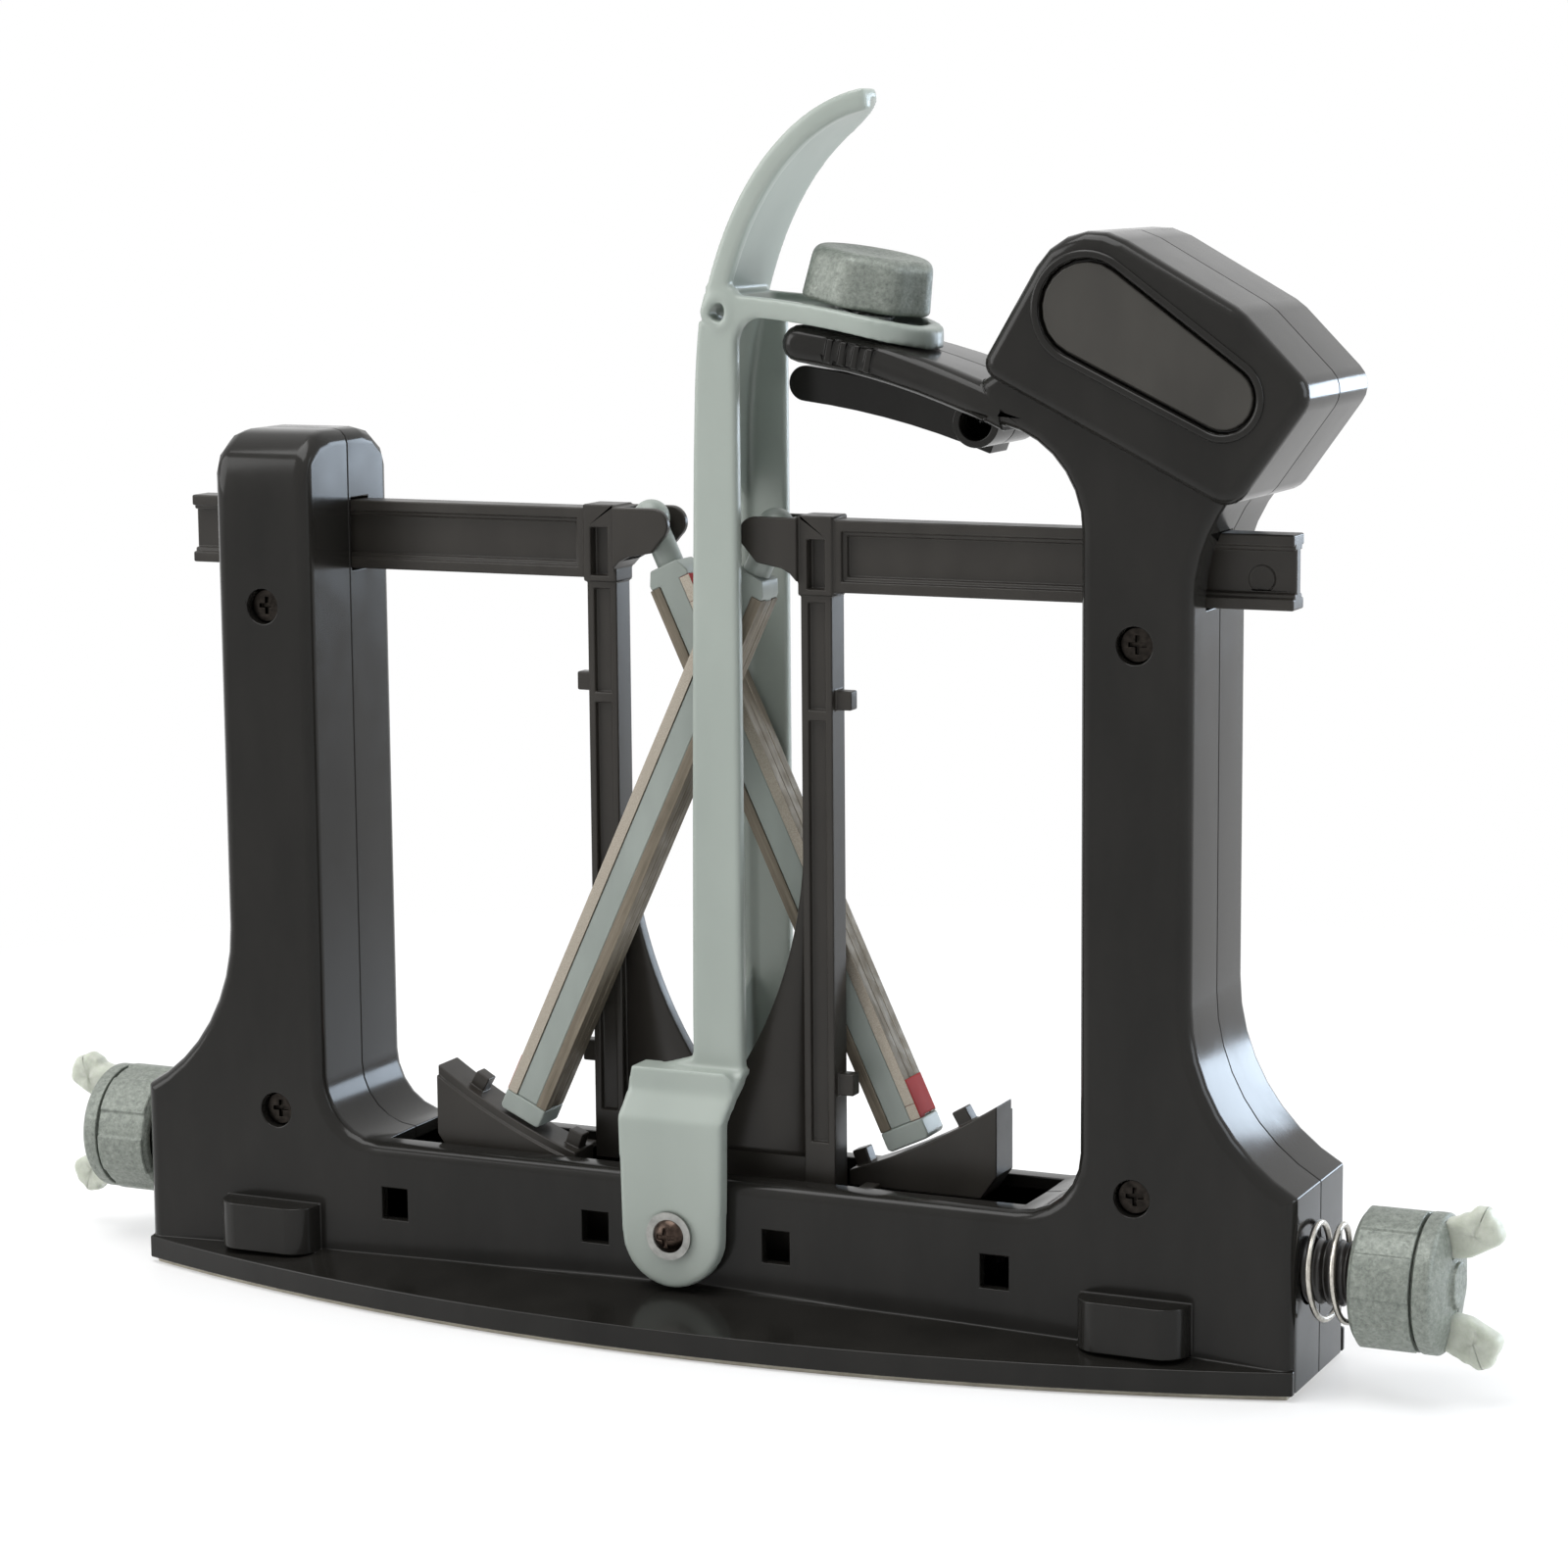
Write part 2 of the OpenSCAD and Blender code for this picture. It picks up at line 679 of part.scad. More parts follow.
// Boss for a screw of the case, through one half
module case_bosses() {
  for (x = [-post_mid, post_mid], z = [screw_low_z, screw_high_z])
    bar_y(boss_r, -face_y + eps, 0, x, z);
}

// Features that both halves share, seen as the front half
module half_case(axis_side) {
  difference() {
    union() {
      difference() {
        union() {
          shell_blank();
          foot();
        }
        shell_hollow();
      }
      case_bosses();
      // Cradle plates that hold the nuts against the end walls
      for (s = [-1, 1])
        translate([s * (cradle_x + cradle_t / 2) - cradle_t / 2, -face_y + wall / 2, pad_t + wall / 2])
          cube([cradle_t, face_y - wall / 2, cradle_h - pad_t]);
      // Ribs that the link slides on
      for (x = rib_x)
        translate([x * axis_side, -face_y + wall / 2, pad_t + wall / 2])
          cube([rib_t, face_y - wall / 2 - 0.8, link_z - 0.2 - pad_t - wall / 2]);
    }
    for (s = [-1, 1])
      translate([s * (base_half - 20) - 20, -screw_y * s * axis_side, screw_z])
        rotate([0, 90, 0])
          cylinder(r = tension_r + seat_gap, h = 40);
    // Hole for the sliding bar, through one post
    translate([axis_side * post_mid - post_w, -plane_y - bar_t / 2 - bar_gap, bar_z - bar_gap])
      cube([2 * post_w, bar_t + 2 * bar_gap, bar_h + 2 * bar_gap]);
  }
}

module front_shell() {
  color(shell_black)
    difference() {
      union() {
        half_case(1);
        intersection() {
          difference() {
            arm();
            arm_cuts();
          }
          translate([-10, -face_y, 100])
            cube([neck_x + 14, face_y, 150]);
        }
        arm_ribs();
        arm_boss(-arm_boss_front, 0);
        for (s = [-1, 1])
          translate([s * bumper_x, 0, 0])
            bumper();
        bar_y(boss_r, -face_y + eps, -pivot_boss_y, pivot_x, pivot_z);
      }
      for (s = [-1, 1], x = hatch_x)
        translate([s * x - hatch_w / 2, -face_y - eps, hatch_z - hatch_h / 2])
          cube([hatch_w, wall + 2 * eps, hatch_h]);
      for (x = [-post_mid, post_mid], z = [screw_low_z, screw_high_z]) {
        bar_y(screw_r + screw_gap, -face_y, 1, x, z);
        bar_y(screw_head_r + seat_gap, -face_y - 1, counterbore_depth - face_y, x, z);
      }
      bar_y(pivot_screw_r + run_gap, -face_y - 1, -pivot_boss_y - 0.8, pivot_x, pivot_z);
      grip_pocket();
      arm_boss_bore();
    }
}

module rear_shell() {
  color(shell_black)
    difference() {
      union() {
        mirror([0, 1, 0])
          half_case(-1);
        intersection() {
          difference() {
            arm();
            arm_cuts();
          }
          translate([-10, 0, 100])
            cube([neck_x + 14, face_y, 150]);
        }
        lower_rail();
        arm_boss(0, arm_y - 1);
      }
      for (x = [-post_mid, post_mid], z = [screw_low_z, screw_high_z])
        bar_y(screw_r + run_gap, -1, screw_tip_y + 1, x, z);
      mirror([0, 1, 0])
        grip_pocket();
      arm_boss_bore();
    }
}

// Open screw boss under the root of the arm
module arm_boss(y0, y1) {
  bar_y(arm_boss_r, y0, y1, pivot_x + arm_boss_at * sin(arm_boss_a), pivot_z + arm_boss_at * cos(arm_boss_a));
}

module arm_boss_bore() {
  bar_y(arm_boss_bore, -arm_boss_front - 1, arm_y - 3, pivot_x + arm_boss_at * sin(arm_boss_a),
    pivot_z + arm_boss_at * cos(arm_boss_a));
}

// Pocket for a grip pad in the front of the grip
module grip_pocket() {
  prism(-grip_y - 1, grip_pad_t - grip_y)
    polygon(inset(belt(pad_circles), -0.5));
}

module grip_pad_front() {
  color(carriage_black)
    prism(-grip_y + 0.2, grip_pad_t - grip_y)
      polygon(belt(pad_circles));
}

module grip_pad_rear() {
  color(carriage_black)
    mirror([0, 1, 0])
      prism(-grip_y + 0.2, grip_pad_t - grip_y)
        polygon(belt(pad_circles));
}

module shell_screws() {
  head_y = counterbore_depth - face_y;
  color(steel)
    for (x = [-post_mid, post_mid], z = [screw_low_z, screw_high_z])
      difference() {
        union() {
          bar_y(screw_r, head_y - 1, screw_tip_y, x, z);
          bar_y(screw_head_r, head_y - 2.2, head_y, x, z);
        }
        for (a = [0, 90])
          translate([x, head_y - 2.2, z])
            rotate([0, a, 0])
              cube([3.4, 2, 0.8], center = true);
      }
}

module base_pad() {
  color(pad_beige)
    linear_extrude(pad_t)
      offset(delta = -1.2)
        intersection() {
          translate([0, foot_r - foot_reach])
            circle(r = foot_r, $fn = big_fn);
          translate([0, foot_reach - foot_r])
            circle(r = foot_r, $fn = big_fn);
          square([base_len, 2 * foot_reach], center = true);
        }
}

// Threaded bush in an end wall
module tension_nut() {
  color(brass_tone)
    difference() {
      translate([nut_in, -screw_y, screw_z])
        rotate([0, 90, 0])
          cylinder(r = nut_r, h = nut_out - nut_in, $fn = 6);
      bar_x(tension_r + run_gap, nut_in - 1, nut_out + 1, -screw_y, screw_z);
    }
}

module right_nut() {
  tension_nut();
}

module left_nut() {
  rotate([0, 0, 180])
    tension_nut();
}

module pivot_bush() {
  color(steel)
    difference() {
      bar_y(bush_r, -plate_front - 0.3, -face_y, pivot_x, pivot_z);
      bar_y(pivot_screw_r + run_gap, -plate_front - 1, -face_y + 1, pivot_x, pivot_z);
    }
}

module pivot_washer() {
  low = plate_front + 0.3;
  color(steel)
    difference() {
      bar_y(pivot_washer_r, -low - pivot_washer_t, -low, pivot_x, pivot_z);
      bar_y(pivot_screw_r + run_gap, -low - 2, -low + 1, pivot_x, pivot_z);
    }
}

module pivot_screw() {
  low = plate_front + 0.3 + pivot_washer_t;
  color([0.22, 0.18, 0.15])
    difference() {
      union() {
        bar_y(pivot_screw_r, -low - 0.5, -pivot_boss_y - 1, pivot_x, pivot_z);
        translate([pivot_x, -low, pivot_z])
          rotate([90, 0, 0])
            rotate_extrude()
              polygon(concat([[0, 0], [pivot_head_r, 0]], arc([0, -2.4], 4.04, 46, 90, 5)));
      }
      for (a = [0, 90])
        translate([pivot_x, -low - 1.6, pivot_z])
          rotate([0, a, 0])
            cube([3.6, 1.6, 0.8], center = true);
    }
}

// Outer spring between the case and a knob's cup
module outer_spring(gap) {
  x1 = base_half + gap + cup_len - cup_floor - seat_gap;
  color(steel)
    translate([0, -screw_y, screw_z])
      coil(base_half + seat_gap, x1, coil_r, coil_wire, coil_turns);
}

module right_outer_spring() {
  outer_spring(right_gap);
}

module left_outer_spring() {
  rotate([0, 0, 180])
    outer_spring(left_gap);
}

// Inner spring between a plunger and a carriage's seat
module inner_spring(advance) {
  color(steel)
    translate([0, -screw_y, screw_z])
      coil(seat_x + seat_gap, plunger_x - advance - seat_gap, spring_r, spring_wire, spring_turns);
}

module front_inner_spring() {
  inner_spring(0);
}

module rear_inner_spring() {
  rotate([0, 0, 180])
    inner_spring(right_gap - left_gap);
}

// Outline of the nose that holds a rod's head
module nose_outline() {
  translate([nose_tip_x, nose_z])
    circle(r = nose_tip_r);
  polygon([[nose_tip_x, nose_top], [leg_x, nose_top], [leg_x, bar_z + 1.8], [leg_x - 1.5, bar_z + 3.4],
    [leg_x - 3.2, nose_z - 6.2], [rod_x - 2, nose_z - 5.3], [nose_tip_x - 2.2, nose_z - 2.3]]);
}

// Front carriage: sliding bar, nose, leg, curved web and low link
module carriage() {
  box_x = leg_x - 0.3;
  box_w = leg_w + 0.7;
  color(carriage_black)
    translate([0, -plane_y, 0])
      difference() {
        union() {
          prism(-bar_t / 2, bar_t / 2) {
            translate([leg_x, bar_z])
              square([bar_end - leg_x, bar_h]);
            translate([leg_x, link_z])
              square([leg_w, bar_z - link_z + 1]);
            translate([-link_end, link_z])
              square([link_end + seat_x - seat_t, link_h]);
          }
          prism(-bar_t / 2 - 0.6, bar_t / 2 + 0.6)
            translate([box_x, bar_z - 0.6])
              square([box_w, bar_h + 1.3]);
          prism(-nose_w / 2, nose_w / 2)
            nose_outline();
          prism(-web_t / 2, web_t / 2) {
            difference() {
              translate([web_x + web_r / 2, link_top - 1])
                square([leg_x + eps - web_x - web_r / 2, web_z - link_top + 1]);
              translate([web_x, web_z])
                circle(r = web_r, $fn = big_fn);
            }
            for (z = lug_z)
              translate([leg_out - eps, z[0]])
                square([lug_reach + eps, z[1] - z[0]]);
          }
          // Seat and pilot for the inner spring
          translate([seat_x - seat_t, plane_y - screw_y - 3.7, link_z + 2])
            cube([seat_t, 8.6, 14]);
          bar_x(spring_r - spring_wire - 0.4, seat_x - 1, seat_x + 5, plane_y - screw_y, screw_z);
        }
        // Stepped recesses along the bar, pockets in the box and panels in the leg
        for (step = [0, 1])
          both_sides(bar_t / 2, bar_recess * (1 + step) / 2)
            translate([box_x + box_w + 1.6 + step * 0.8, bar_z + bar_flange + step * 0.8])
              square([bar_end, bar_h - 2 * bar_flange - 1.6 * step]);
        both_sides(bar_t / 2 + 0.6, 2.2)
          translate([box_x + 1.9, bar_z + 0.5])
            square([box_w - 3.5, bar_h - 4.2]);
        for (z = [[floor_h + 7, lug_z[1][0] - 2], [lug_z[1][0], bar_z - 2]])
          both_sides(bar_t / 2, 1.1)
            translate([leg_x + 1.5, z[0]])
              square([leg_w - 3, z[1] - z[0]]);
        // Slot for the rod's head and blind bores for its trunnions
        translate([0, -slot_w / 2, link_top + 20])
          cube([rod_x + 4.5, slot_w, bar_top]);
        bar_y(trunnion_r + run_gap, -trunnion_len / 2 - run_gap, trunnion_len / 2 + run_gap, rod_x, rod_z);
        // Round mark of the mould at the bar's free end
        bar_y(2.4, -bar_t / 2 + bar_recess - 0.1, -bar_t / 2 + bar_recess + 0.4, bar_end - 6.4, bar_z + bar_h * 0.4);
      }
}

// Cuts a drawing into both faces of a plate, to a depth
module both_sides(half, depth) {
  for (y0 = [-half - 1, half - depth])
    prism(y0, y0 + depth + 1)
      children();
}

module front_carriage() {
  carriage();
}

module rear_carriage() {
  rotate([0, 0, 180])
    carriage();
}

// Front ramp, whose floor is an arc about its rod's pivot
module ramp() {
  y0 = -foot_cap_d / 2 - 0.8;
  y1 = foot_cap_d / 2;
  low = link_top;
  inner = rod_x - ramp_r * sin(rod_lean - peg_a) + 2;
  color(carriage_black)
    translate([0, -plane_y, 0])
      difference() {
        union() {
          difference() {
            prism(y0, y1)
              polygon([[-link_end, low + 7], [-link_end, low + 21], [inner, low + 21], [inner, low + 2],
                [inner - 4, low], [-link_end + 5, low]]);
            bar_y(ramp_r, y0 - 1, y1 + 1, rod_x, rod_z, $fn = big_fn);
            bar_y(ramp_r + 1.6, y0 - 1, y0 + 0.7, rod_x, rod_z, $fn = big_fn);
          }
          for (a = [-peg_a, peg_a])
            translate([rod_x, 0, rod_z])
              rotate([0, rod_lean + a, 0])
                translate([-peg_w / 2, -peg_w / 2, -ramp_r - 1])
                  cube([peg_w, peg_w, peg_h + 1]);
        }
      }
}

module front_ramp() {
  ramp();
}

module rear_ramp() {
  rotate([0, 0, 180])
    ramp();
}

// Places a piece drawn along -Z on the front rod's axis
module on_rod() {
  translate([rod_x, -plane_y, rod_z])
    rotate([0, rod_lean, 0])
      children();
}

// Four corners of the rod where the strips lie
module strip_at(sx, sy, from, to, grow) {
  x0 = rod_w / 2 - strip_w;
  y0 = rod_d / 2 - strip_d;
  x = sx < 0 ? -strip_w - x0 - grow : x0;
  y = sy < 0 ? -strip_d - y0 - grow : y0;
  translate([x, y, -to])
    cube([strip_w + grow, strip_d + grow, to - from]);
}

module rod_core() {
  half_w = rod_w / 2 - strip_proud;
  half_d = rod_d / 2 - strip_proud;
  end = rod_len - cap_h;
  color(rod_grey)
    on_rod()
      difference() {
        prism(-half_d, half_d)
          polygon([[-half_w, -end], [half_w, -end], [half_w, -neck_end - 2.5], [half_w - 1.3, -neck_end],
            [1.3 - half_w, -neck_end], [-half_w, -neck_end - 2.5]]);
        for (sx = [-1, 1], sy = [-1, 1])
          strip_at(sx, sy, strip_start, end + 1, 1);
        translate([0, 0, -neck_end - 8])
          cylinder(r = trunnion_r + run_gap, h = 9);
      }
}

// Strips on the side that faces the blade's left, cut short for the marks
module coarse_strips() {
  end = rod_len - cap_h;
  color(strip_steel)
    on_rod() {
      strip_at(-1, -1, strip_start, end, 0);
      strip_at(-1, 1, strip_start + mark_top, end - mark_low, 0);
    }
}

module fine_strips() {
  color(strip_steel)
    on_rod()
      for (sy = [-1, 1])
        strip_at(1, sy, strip_start, rod_len - cap_h, 0);
}

module rod_marks() {
  end = rod_len - cap_h;
  color(mark_red)
    on_rod() {
      strip_at(-1, 1, strip_start, strip_start + mark_top, 0);
      strip_at(-1, 1, end - mark_low, end, 0);
    }
}

module rod_foot() {
  half = foot_cap_w / 2;
  color(rod_grey)
    on_rod()
      prism(-foot_cap_d / 2, foot_cap_d / 2)
        polygon([[0.6 - half, -rod_len], [half - 0.6, -rod_len], [half, 0.6 - rod_len], [half, cap_h - rod_len],
          [-half, cap_h - rod_len], [-half, 0.6 - rod_len]]);
}

module rod_head() {
  color(carriage_black)
    on_rod() {
      intersection() {
        sphere(r = 3.6);
        cube([9, slot_w - 0.2, 9], center = true);
      }
      bar_y(trunnion_r, -trunnion_len / 2, trunnion_len / 2, 0, 0);
      translate([0, 0, -neck_end])
        cylinder(r = 2.6, h = neck_end);
      translate([0, 0, -neck_end - 7.5])
        cylinder(r = trunnion_r, h = 8);
    }
}

module front_rod_core() {
  rod_core();
}

module front_rod_coarse_strips() {
  coarse_strips();
}

module front_rod_fine_strips() {
  fine_strips();
}

module front_rod_marks() {
  rod_marks();
}

module front_rod_foot() {
  rod_foot();
}

module front_rod_head() {
  rod_head();
}

module rear_rod_core() {
  rotate([0, 0, 180])
    rod_core();
}

module rear_rod_coarse_strips() {
  rotate([0, 0, 180])
    coarse_strips();
}

module rear_rod_fine_strips() {
  rotate([0, 0, 180])
    fine_strips();
}

module rear_rod_marks() {
  rotate([0, 0, 180])
    rod_marks();
}

module rear_rod_foot() {
  rotate([0, 0, 180])
    rod_foot();
}

module rear_rod_head() {
  rotate([0, 0, 180])
    rod_head();
}

// Curved band of the horn in X and Z, measured inwards from its outer curve
module horn_band(depth, from_z) {
  translate([guide_x + sway_r, sway_z])
    ring_sector(sway_r - depth, sway_r, -90, -90 + sway_a);
  translate([horn_x, horn_z])
    ring_sector(horn_r - depth, horn_r, -90 + horn_a0, -90 + horn_turn);
  translate([guide_x, from_z])
    square([depth, sway_z - from_z + eps]);
}

// Side view of the guide's depth, narrowing towards the horn's tip
module guide_side() {
  fade = 37;
  rear = 10;
  polygon(concat(
    [[-guide_front_y, loop_z], [guide_rear_y, loop_z], [guide_rear_y, horn_z0 - 9], [rear, horn_z0]],
    [for (i = [1:8]) [rear - 20 * pow(i / 8, 6), horn_z0 + fade * i / 8]],
    [[rear - 21, horn_z0 + horn_r], [-guide_front_y, horn_z0 + horn_r]]
  ));
}

// Plan of the guide's arm, with a rounded end
module shelf_plan(inset) {
  translate([shelf_end_x, shelf_mid_y])
    circle(r = shelf_end_r - inset);
  translate([guide_x + guide_web_t, shelf_mid_y - shelf_end_r + inset])
    square([shelf_end_x - guide_x - guide_web_t, 2 * (shelf_end_r - inset)]);
}

module shelf() {
  shelf_base = pivot_z + shelf_r / 2;
  difference() {
    intersection() {
      translate([pivot_x, 0, pivot_z])
        prism(-30, 30)
          ring_sector(shelf_r, shelf_top, 0, 25);
      translate([0, 0, shelf_base])
        linear_extrude(shelf_r)
          shelf_plan(0);
    }
    intersection() {
      translate([pivot_x, 0, pivot_z])
        prism(-30, 30)
          ring_sector(shelf_r + shelf_t, shelf_top + 2, 3.6, 25);
      translate([0, 0, shelf_base])
        linear_extrude(shelf_r)
          shelf_plan(shelf_rim_w);
    }
    translate([pivot_x, 0, pivot_z])
      rotate([0, clamp_a, 0])
        translate([0, 0, shelf_r - 3])
          cylinder(r = bolt_r + run_gap, h = 20);
  }
}

// Plate round the pivot, in X and Z
module plate_outline() {
  translate([pivot_x, pivot_z])
    circle(r = plate_r);
  polygon([[pivot_x - plate_r, pivot_z], [fold_left, fold_z], [fold_right, fold_z], [pivot_x + plate_r, pivot_z]]);
}

module guide_lever() {
  flange_end = guide_x + guide_w;
  flange_back = guide_front_t - guide_front_y;
  shoulder_z = pivot_z + sqrt(pow(shelf_r, 2) - pow(flange_end - pivot_x, 2));
  fillet_drop = shelf_fillet * (flange_end + shelf_fillet / 2 - pivot_x) / shelf_r;
  color(guide_grey)
    difference() {
      union() {
        prism(-plate_front, -plate_back)
          plate_outline();
        // Slanting shoulder between the plate and the flange
        hull() {
          translate([fold_left, -plate_front, fold_z - 0.1])
            cube([fold_right - fold_left, plate_t, 0.1]);
          translate([gusset_x, -guide_front_y - 1, fold_top])
            cube([flange_end + 0.8 - gusset_x, guide_front_t + 1, 0.1]);
        }
        prism(-guide_front_y, flange_back) {
          translate([guide_x, fold_top - 2])
            square([guide_w, shoulder_z + 1 - fold_top]);
          polygon([[gusset_x, fold_top - 1], [guide_x + 0.1, fold_top + gusset_h], [guide_x + 3, fold_top - 1]]);
          // Fillet between the flange and the arm above it
          intersection() {
            difference() {
              translate([flange_end - eps, shoulder_z - shelf_fillet])
                square([shelf_fillet + eps, shelf_fillet + 1]);
              translate([flange_end + shelf_fillet, shoulder_z - shelf_fillet - fillet_drop])
                circle(r = shelf_fillet);
            }
            translate([pivot_x, pivot_z])
              circle(r = shelf_r + eps, $fn = big_fn);
          }
          difference() {
            horn_band(guide_w + 2, shoulder_z - 20);
            translate([flange_end, 0])
              square([90, horn_z0 + 1.5]);
            translate([guide_x + horn_rim, horn_z0 + 1.5])
              square([90, 90]);
          }
          horn_band(horn_rim, sway_z - 10);
        }
        // Rear flange, up to the arm
        prism(guide_rear_y - guide_rear_t, guide_rear_y)
          translate([guide_x, loop_z])
            square([guide_w - 0.7, shoulder_z - loop_z]);
        intersection() {
          prism(-guide_front_y, guide_rear_y) {
            horn_band(guide_web_t, loop_z);
          }
          rotate([90, 0, 90])
            linear_extrude(90)
              guide_side();
        }
        shelf();
        bar_y(eye_r + 1.6, -guide_front_y - 0.4, flange_back, eye_x, eye_z);
      }
      // Long slot that the rods cross in, rounded at both ends
      translate([guide_x - 5, (slot_rear - slot_front) / 2, 0])
        rotate([90, 0, 90])
          linear_extrude(guide_web_t + 5.1)
            offset(r = 4)
              offset(delta = -4)
                translate([-(slot_rear + slot_front) / 2, slot_low])
                  square([slot_rear + slot_front, slot_high - slot_low]);
      bar_y(bush_r + run_gap, -plate_front - 1, -plate_back + 1, pivot_x, pivot_z);
      bar_y(eye_r, -guide_front_y - 1, flange_back + 1, eye_x, eye_z);
    }
}

// Places a piece drawn along Z on the clamp's radial axis
module on_clamp() {
  translate([pivot_x, 0, pivot_z])
    rotate([0, clamp_a, 0])
      children();
}

module clamp_bolt() {
  color(steel)
    on_clamp() {
      translate([0, 0, arm_r - arm_wall - seat_gap - bolt_head_t / 2])
        cube([bolt_head_w, bolt_head_l, bolt_head_t], center = true);
      translate([0, 0, arm_r - arm_wall - seat_gap - 1])
        cylinder(r = bolt_r, h = bolt_top - arm_r + arm_wall + seat_gap + 1);
    }
}

module clamp_washer() {
  color(steel)
    on_clamp()
      translate([0, 0, washer_low])
        difference() {
          cylinder(r = knob_hub_r, h = washer_t);
          translate([0, 0, -1])
            cylinder(r = bolt_r + 0.2, h = washer_t + 2);
        }
}

module clamp_insert() {
  color(brass_tone)
    on_clamp()
      translate([0, 0, knob_low])
        difference() {
          cylinder(r = insert_r, h = 7.4, $fn = 6);
          translate([0, 0, -1])
            cylinder(r = bolt_r + run_gap, h = 12);
        }
}

module clamp_knob() {
  low = clamp_round / 2;
  hub_h = knob_low - hub_low;
  color(knob_grey)
    on_clamp()
      difference() {
        translate([0, 0, knob_low])
          rotate_extrude()
            polygon(concat([[0, -hub_h], [knob_hub_r, -hub_h], [knob_hub_r, 0]],
              arc([clamp_knob_r - low, low], low, -90, 0, 3),
              arc([clamp_knob_r - clamp_round, clamp_knob_h - clamp_round], clamp_round, 0, 90, 5),
              [[clamp_knob_r * 0.6, clamp_knob_h + 0.4], [0, clamp_knob_h + 0.4]]));
        // Shallow hollows round the side
        for (i = [0:7])
          rotate([0, 0, i * 45 + 22])
            translate([clamp_knob_r + 17.6, 0, hub_low - 1])
              cylinder(r = 18, h = clamp_knob_h + 20);
        translate([0, 0, knob_low])
          cylinder(r = insert_r, h = 7.4, $fn = 6);
        translate([0, 0, hub_low - 1])
          cylinder(r = bolt_r + run_gap, h = knob_low - hub_low + 2);
      }
}

// Plunger that carries the inner spring, pushed by the screw's end
module plunger(advance) {
  color(steel)
    translate([-advance, -screw_y, screw_z]) {
      bar_x(spring_r + 0.4, plunger_x, plunger_x + plunger_len, 0, 0);
      bar_x(spring_r - spring_wire - 0.4, plunger_x - 6, plunger_x + 1, 0, 0);
    }
}

// Tension screw, from the plunger to the knob's cap
module tension_screw(gap) {
  x1 = base_half + gap + cup_len;
  x0 = screw_in + gap - right_gap;
  color(carriage_black)
    bar_x(tension_r, x0, x1, -screw_y, screw_z);
}

// Hollow cup with raised lands round its side
module knob_cup(gap) {
  x0 = base_half + gap;
  land_w = 8;
  land_h = 0.4;
  chamfer = 0.9;
  low_r = knob_r - land_h;
  color(knob_grey)
    translate([x0, -screw_y, screw_z])
      rotate([0, 90, 0])
        difference() {
          union() {
            cylinder(r1 = low_r - chamfer, r2 = low_r, h = chamfer);
            translate([0, 0, chamfer])
              linear_extrude(cup_len - chamfer) {
                circle(r = low_r);
                for (i = [0:5])
                  rotate(i * 60 + 15)
                    intersection() {
                      circle(r = knob_r);
                      translate([0, -land_w / 2])
                        square([knob_r + 1, land_w]);
                    }
              }
          }
          translate([0, 0, -1])
            cylinder(r = knob_r - cup_wall, h = cup_len - cup_floor + 1);
          translate([0, 0, -1])
            cylinder(r = tension_r + run_gap, h = cup_len + 2);
        }
}

// Side view of the thumb wings, along and across the knob's axis
module wing_outline() {
  polygon([[1, -4], [1, 11], [4.8, 12.2], [8.6, 14.4], [10.6, 14.8], [12, 13.8], [13.9, 10.4], [14, 8.6],
    [8, 5.6], [4, 5], [3, 4], [3, -4], [4, -5], [8, -5.6], [14, -8.6], [13.9, -10.4], [12, -13.8], [10.6, -14.8],
    [8.6, -14.4], [4.8, -12.2], [1, -11]]);
}

// Wings drawn along a knob's axis, X outwards
module wing_solid(gap, t) {
  translate([base_half + gap + cup_len, -screw_y, screw_z])
    prism(-t / 2, t / 2)
      wing_outline();
}

// Domed cap over the wings' middle
module knob_cap(gap) {
  x0 = base_half + gap + cup_len;
  color(knob_grey)
    difference() {
      translate([x0, -screw_y, screw_z])
        rotate([0, 90, 0])
          rotate_extrude()
            polygon([[0, 0], [knob_r - 1.2, 0], [knob_r - 1.2, 0.6], [knob_r - 0.2, 0.6], [knob_r - 0.2, 3.2],
              [knob_r - 1, 4], [8, cap_len - 0.3], [3.4, cap_len], [3.4, cap_len + 3.6], [2.9, cap_len + 4], [0, cap_len + 4]]);
      wing_solid(gap, wing_t + 0.1);
    }
}

module wings(gap) {
  color(wing_pale)
    wing_solid(gap, wing_t);
}

module right_plunger() {
  plunger(0);
}

module right_screw() {
  tension_screw(right_gap);
}

module right_cup() {
  knob_cup(right_gap);
}

module right_cap() {
  knob_cap(right_gap);
}

module right_wings() {
  wings(right_gap);
}

module left_plunger() {
  rotate([0, 0, 180])
    plunger(right_gap - left_gap);
}

module left_screw() {
  rotate([0, 0, 180])
    tension_screw(left_gap);
}

module left_cup() {
  rotate([0, 0, 180])
    knob_cup(left_gap);
}

module left_cap() {
  rotate([0, 0, 180])
    knob_cap(left_gap);
}

module left_wings() {
  rotate([0, 0, 180])
    wings(left_gap);
}

